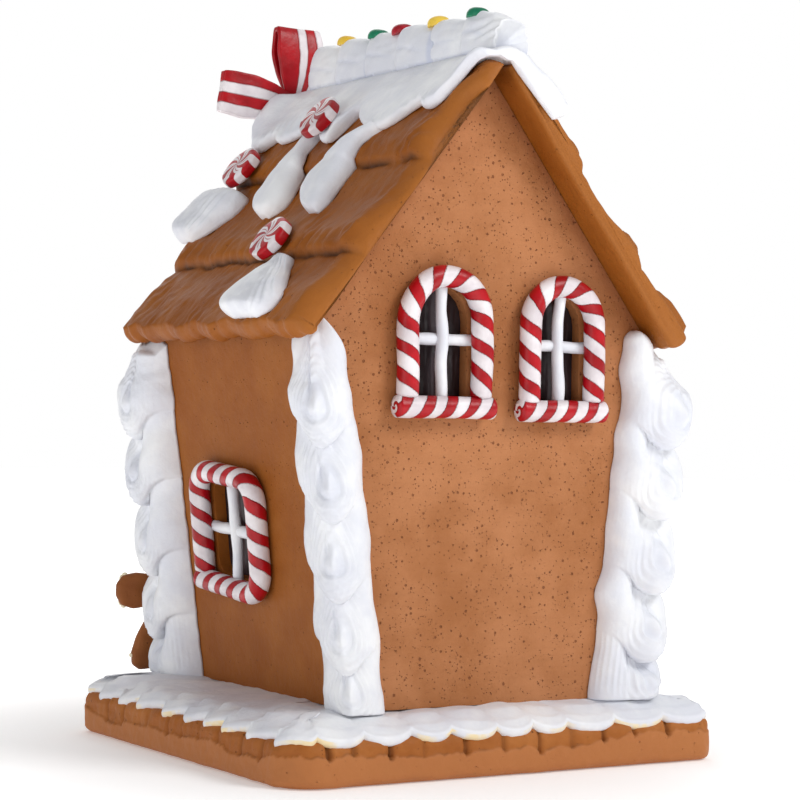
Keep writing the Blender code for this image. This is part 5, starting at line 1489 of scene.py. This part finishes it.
def makeMan(shape):
    low, high = boxOf("gingerbread_man")
    foot = low[2]
    right = list(shape["half"])
    head = [(11.0 * math.cos(math.radians(a)), 53.0 + 11.0 * math.sin(math.radians(a)))
            for a in range(-50, 91, 14)]
    outline = right + head + [(-x, z) for x, z in reversed(right + head[:-1])]
    work = bmesh.new()
    ring = [work.verts.new(((shape["centre"] + x) * mm, shape["back"] * mm, (foot + z) * mm)) for x, z in outline]
    face = work.faces.new(ring)
    pushed = bmesh.ops.extrude_face_region(work, geom=[face])["geom"]
    for spot in pushed:
        if isinstance(spot, bmesh.types.BMVert):
            spot.co.y = shape["front"] * mm
    bmesh.ops.recalc_face_normals(work, faces=work.faces)
    rims = [e for e in work.edges if len(e.link_faces) == 2 and abs(e.verts[0].co.y - e.verts[1].co.y) < 1e-6]
    bmesh.ops.bevel(work, geom=rims, offset=2.0 * mm, segments=4, profile=0.5, affect="EDGES")
    mesh = bpy.data.meshes.new("cookieRough")
    work.to_mesh(mesh)
    work.free()
    rough = bpy.data.objects.new("cookieRough", mesh)
    scene.collection.objects.link(rough)
    remesh = rough.modifiers.new("even", "REMESH")
    remesh.mode, remesh.voxel_size = "VOXEL", shape["voxel"] * mm
    smooth = rough.modifiers.new("soft", "SMOOTH")
    smooth.factor, smooth.iterations = 0.5, 6
    bpy.context.view_layer.update()
    made = bpy.data.meshes.new_from_object(rough.evaluated_get(bpy.context.evaluated_depsgraph_get()))
    bpy.data.objects.remove(rough)
    made.name = "cookie_man"
    spots = np.zeros(len(made.vertices) * 3)
    made.vertices.foreach_get("co", spots)
    spots = spots.reshape(-1, 3) / mm
    middle = 0.5 * (shape["back"] + shape["front"])
    sign = np.sign(spots[:, 1] - middle)
    spots[:, 1] += sign * (0.30 * uneven(spots, 18, 111) + 0.12 * uneven(spots, 6, 112))
    made.vertices.foreach_set("co", (spots * mm).reshape(-1))
    made.shade_smooth()
    made.materials.clear()
    made.materials.append(doughs["cookie"])
    piece = bpy.data.objects.new("cookie_man", made)
    scene.collection.objects.link(piece)
    mount(piece, "gingerbread", "gingerbread_man")
    # icing trims wind over the wrists and ankles, and a plain face and two buttons sit on the front
    trims = []
    for side in (-1, 1):
        for (x0, z0), (x1, z1), wide in (((24.5, 28.6), (24.0, 41.4), 0.9), ((19.6, 6.4), (2.4, 5.0), 0.9)):
            t = np.linspace(0, 1, 26)
            x, z = x0 + (x1 - x0) * t, z0 + (z1 - z0) * t
            cross = np.array([z1 - z0, x0 - x1]) / math.hypot(z1 - z0, x1 - x0)
            sway = wide * np.sin(2 * np.pi * 2.5 * t)
            for y in (shape["front"] - 0.3,):      # only the side with the face is iced
                trims.append(np.stack([shape["centre"] + side * (x + cross[0] * sway), np.full(26, y),
                                       foot + z + cross[1] * sway], -1))
            for share in (0, 1):
                spot = (x0, z0) if share == 0 else (x1, z1)
                yy = np.linspace(shape["back"] + 2.2, shape["front"] - 0.3, 8)
                grow_ = 0.4
                shift = (0.0, -grow_ if share == 0 else grow_) if x0 > 22 else (grow_ if share == 0 else -grow_, 0)
                trims.append(np.stack([np.full(8, shape["centre"] + side * (spot[0] + shift[0])), yy,
                                       np.full(8, foot + spot[1] + shift[1])], -1))
    smile = np.radians(np.linspace(215, 325, 20))
    trims.append(np.stack([shape["centre"] + 5.2 * np.cos(smile), np.full(20, shape["front"] - 0.1),
                           foot + 53.5 + 5.0 * np.sin(smile)], -1))
    piece = makeRope("cookie_trim", trims, 1.0, creamFinish, 120, unevenness=0.5, rounding=0.8, step=0.6, sides=12)
    mount(piece, "icing")
    dots = ((-3.6, 56.6, 1.25, "candy_green"), (3.6, 56.6, 1.25, "candy_green"), (0.0, 34.5, 1.9, "candy_red"),
            (0.0, 26.5, 1.9, "candy_red"))
    for number, (x, z, radius, slotName) in enumerate(dots, 1):
        spot = (shape["centre"] + x, shape["front"] - 0.1, foot + z)
        dot = makeSweet("cookie_dot_%d" % number, spot, (math.pi / 2, 0, 0), radius, 2.2,
                        buttonFinishes[slotName], 130 + number, 0.7, 0.0, 3, 0.01)
        mount(dot, slotName)


makeMan(manShape)
print("gingerbread man stands by the gable")
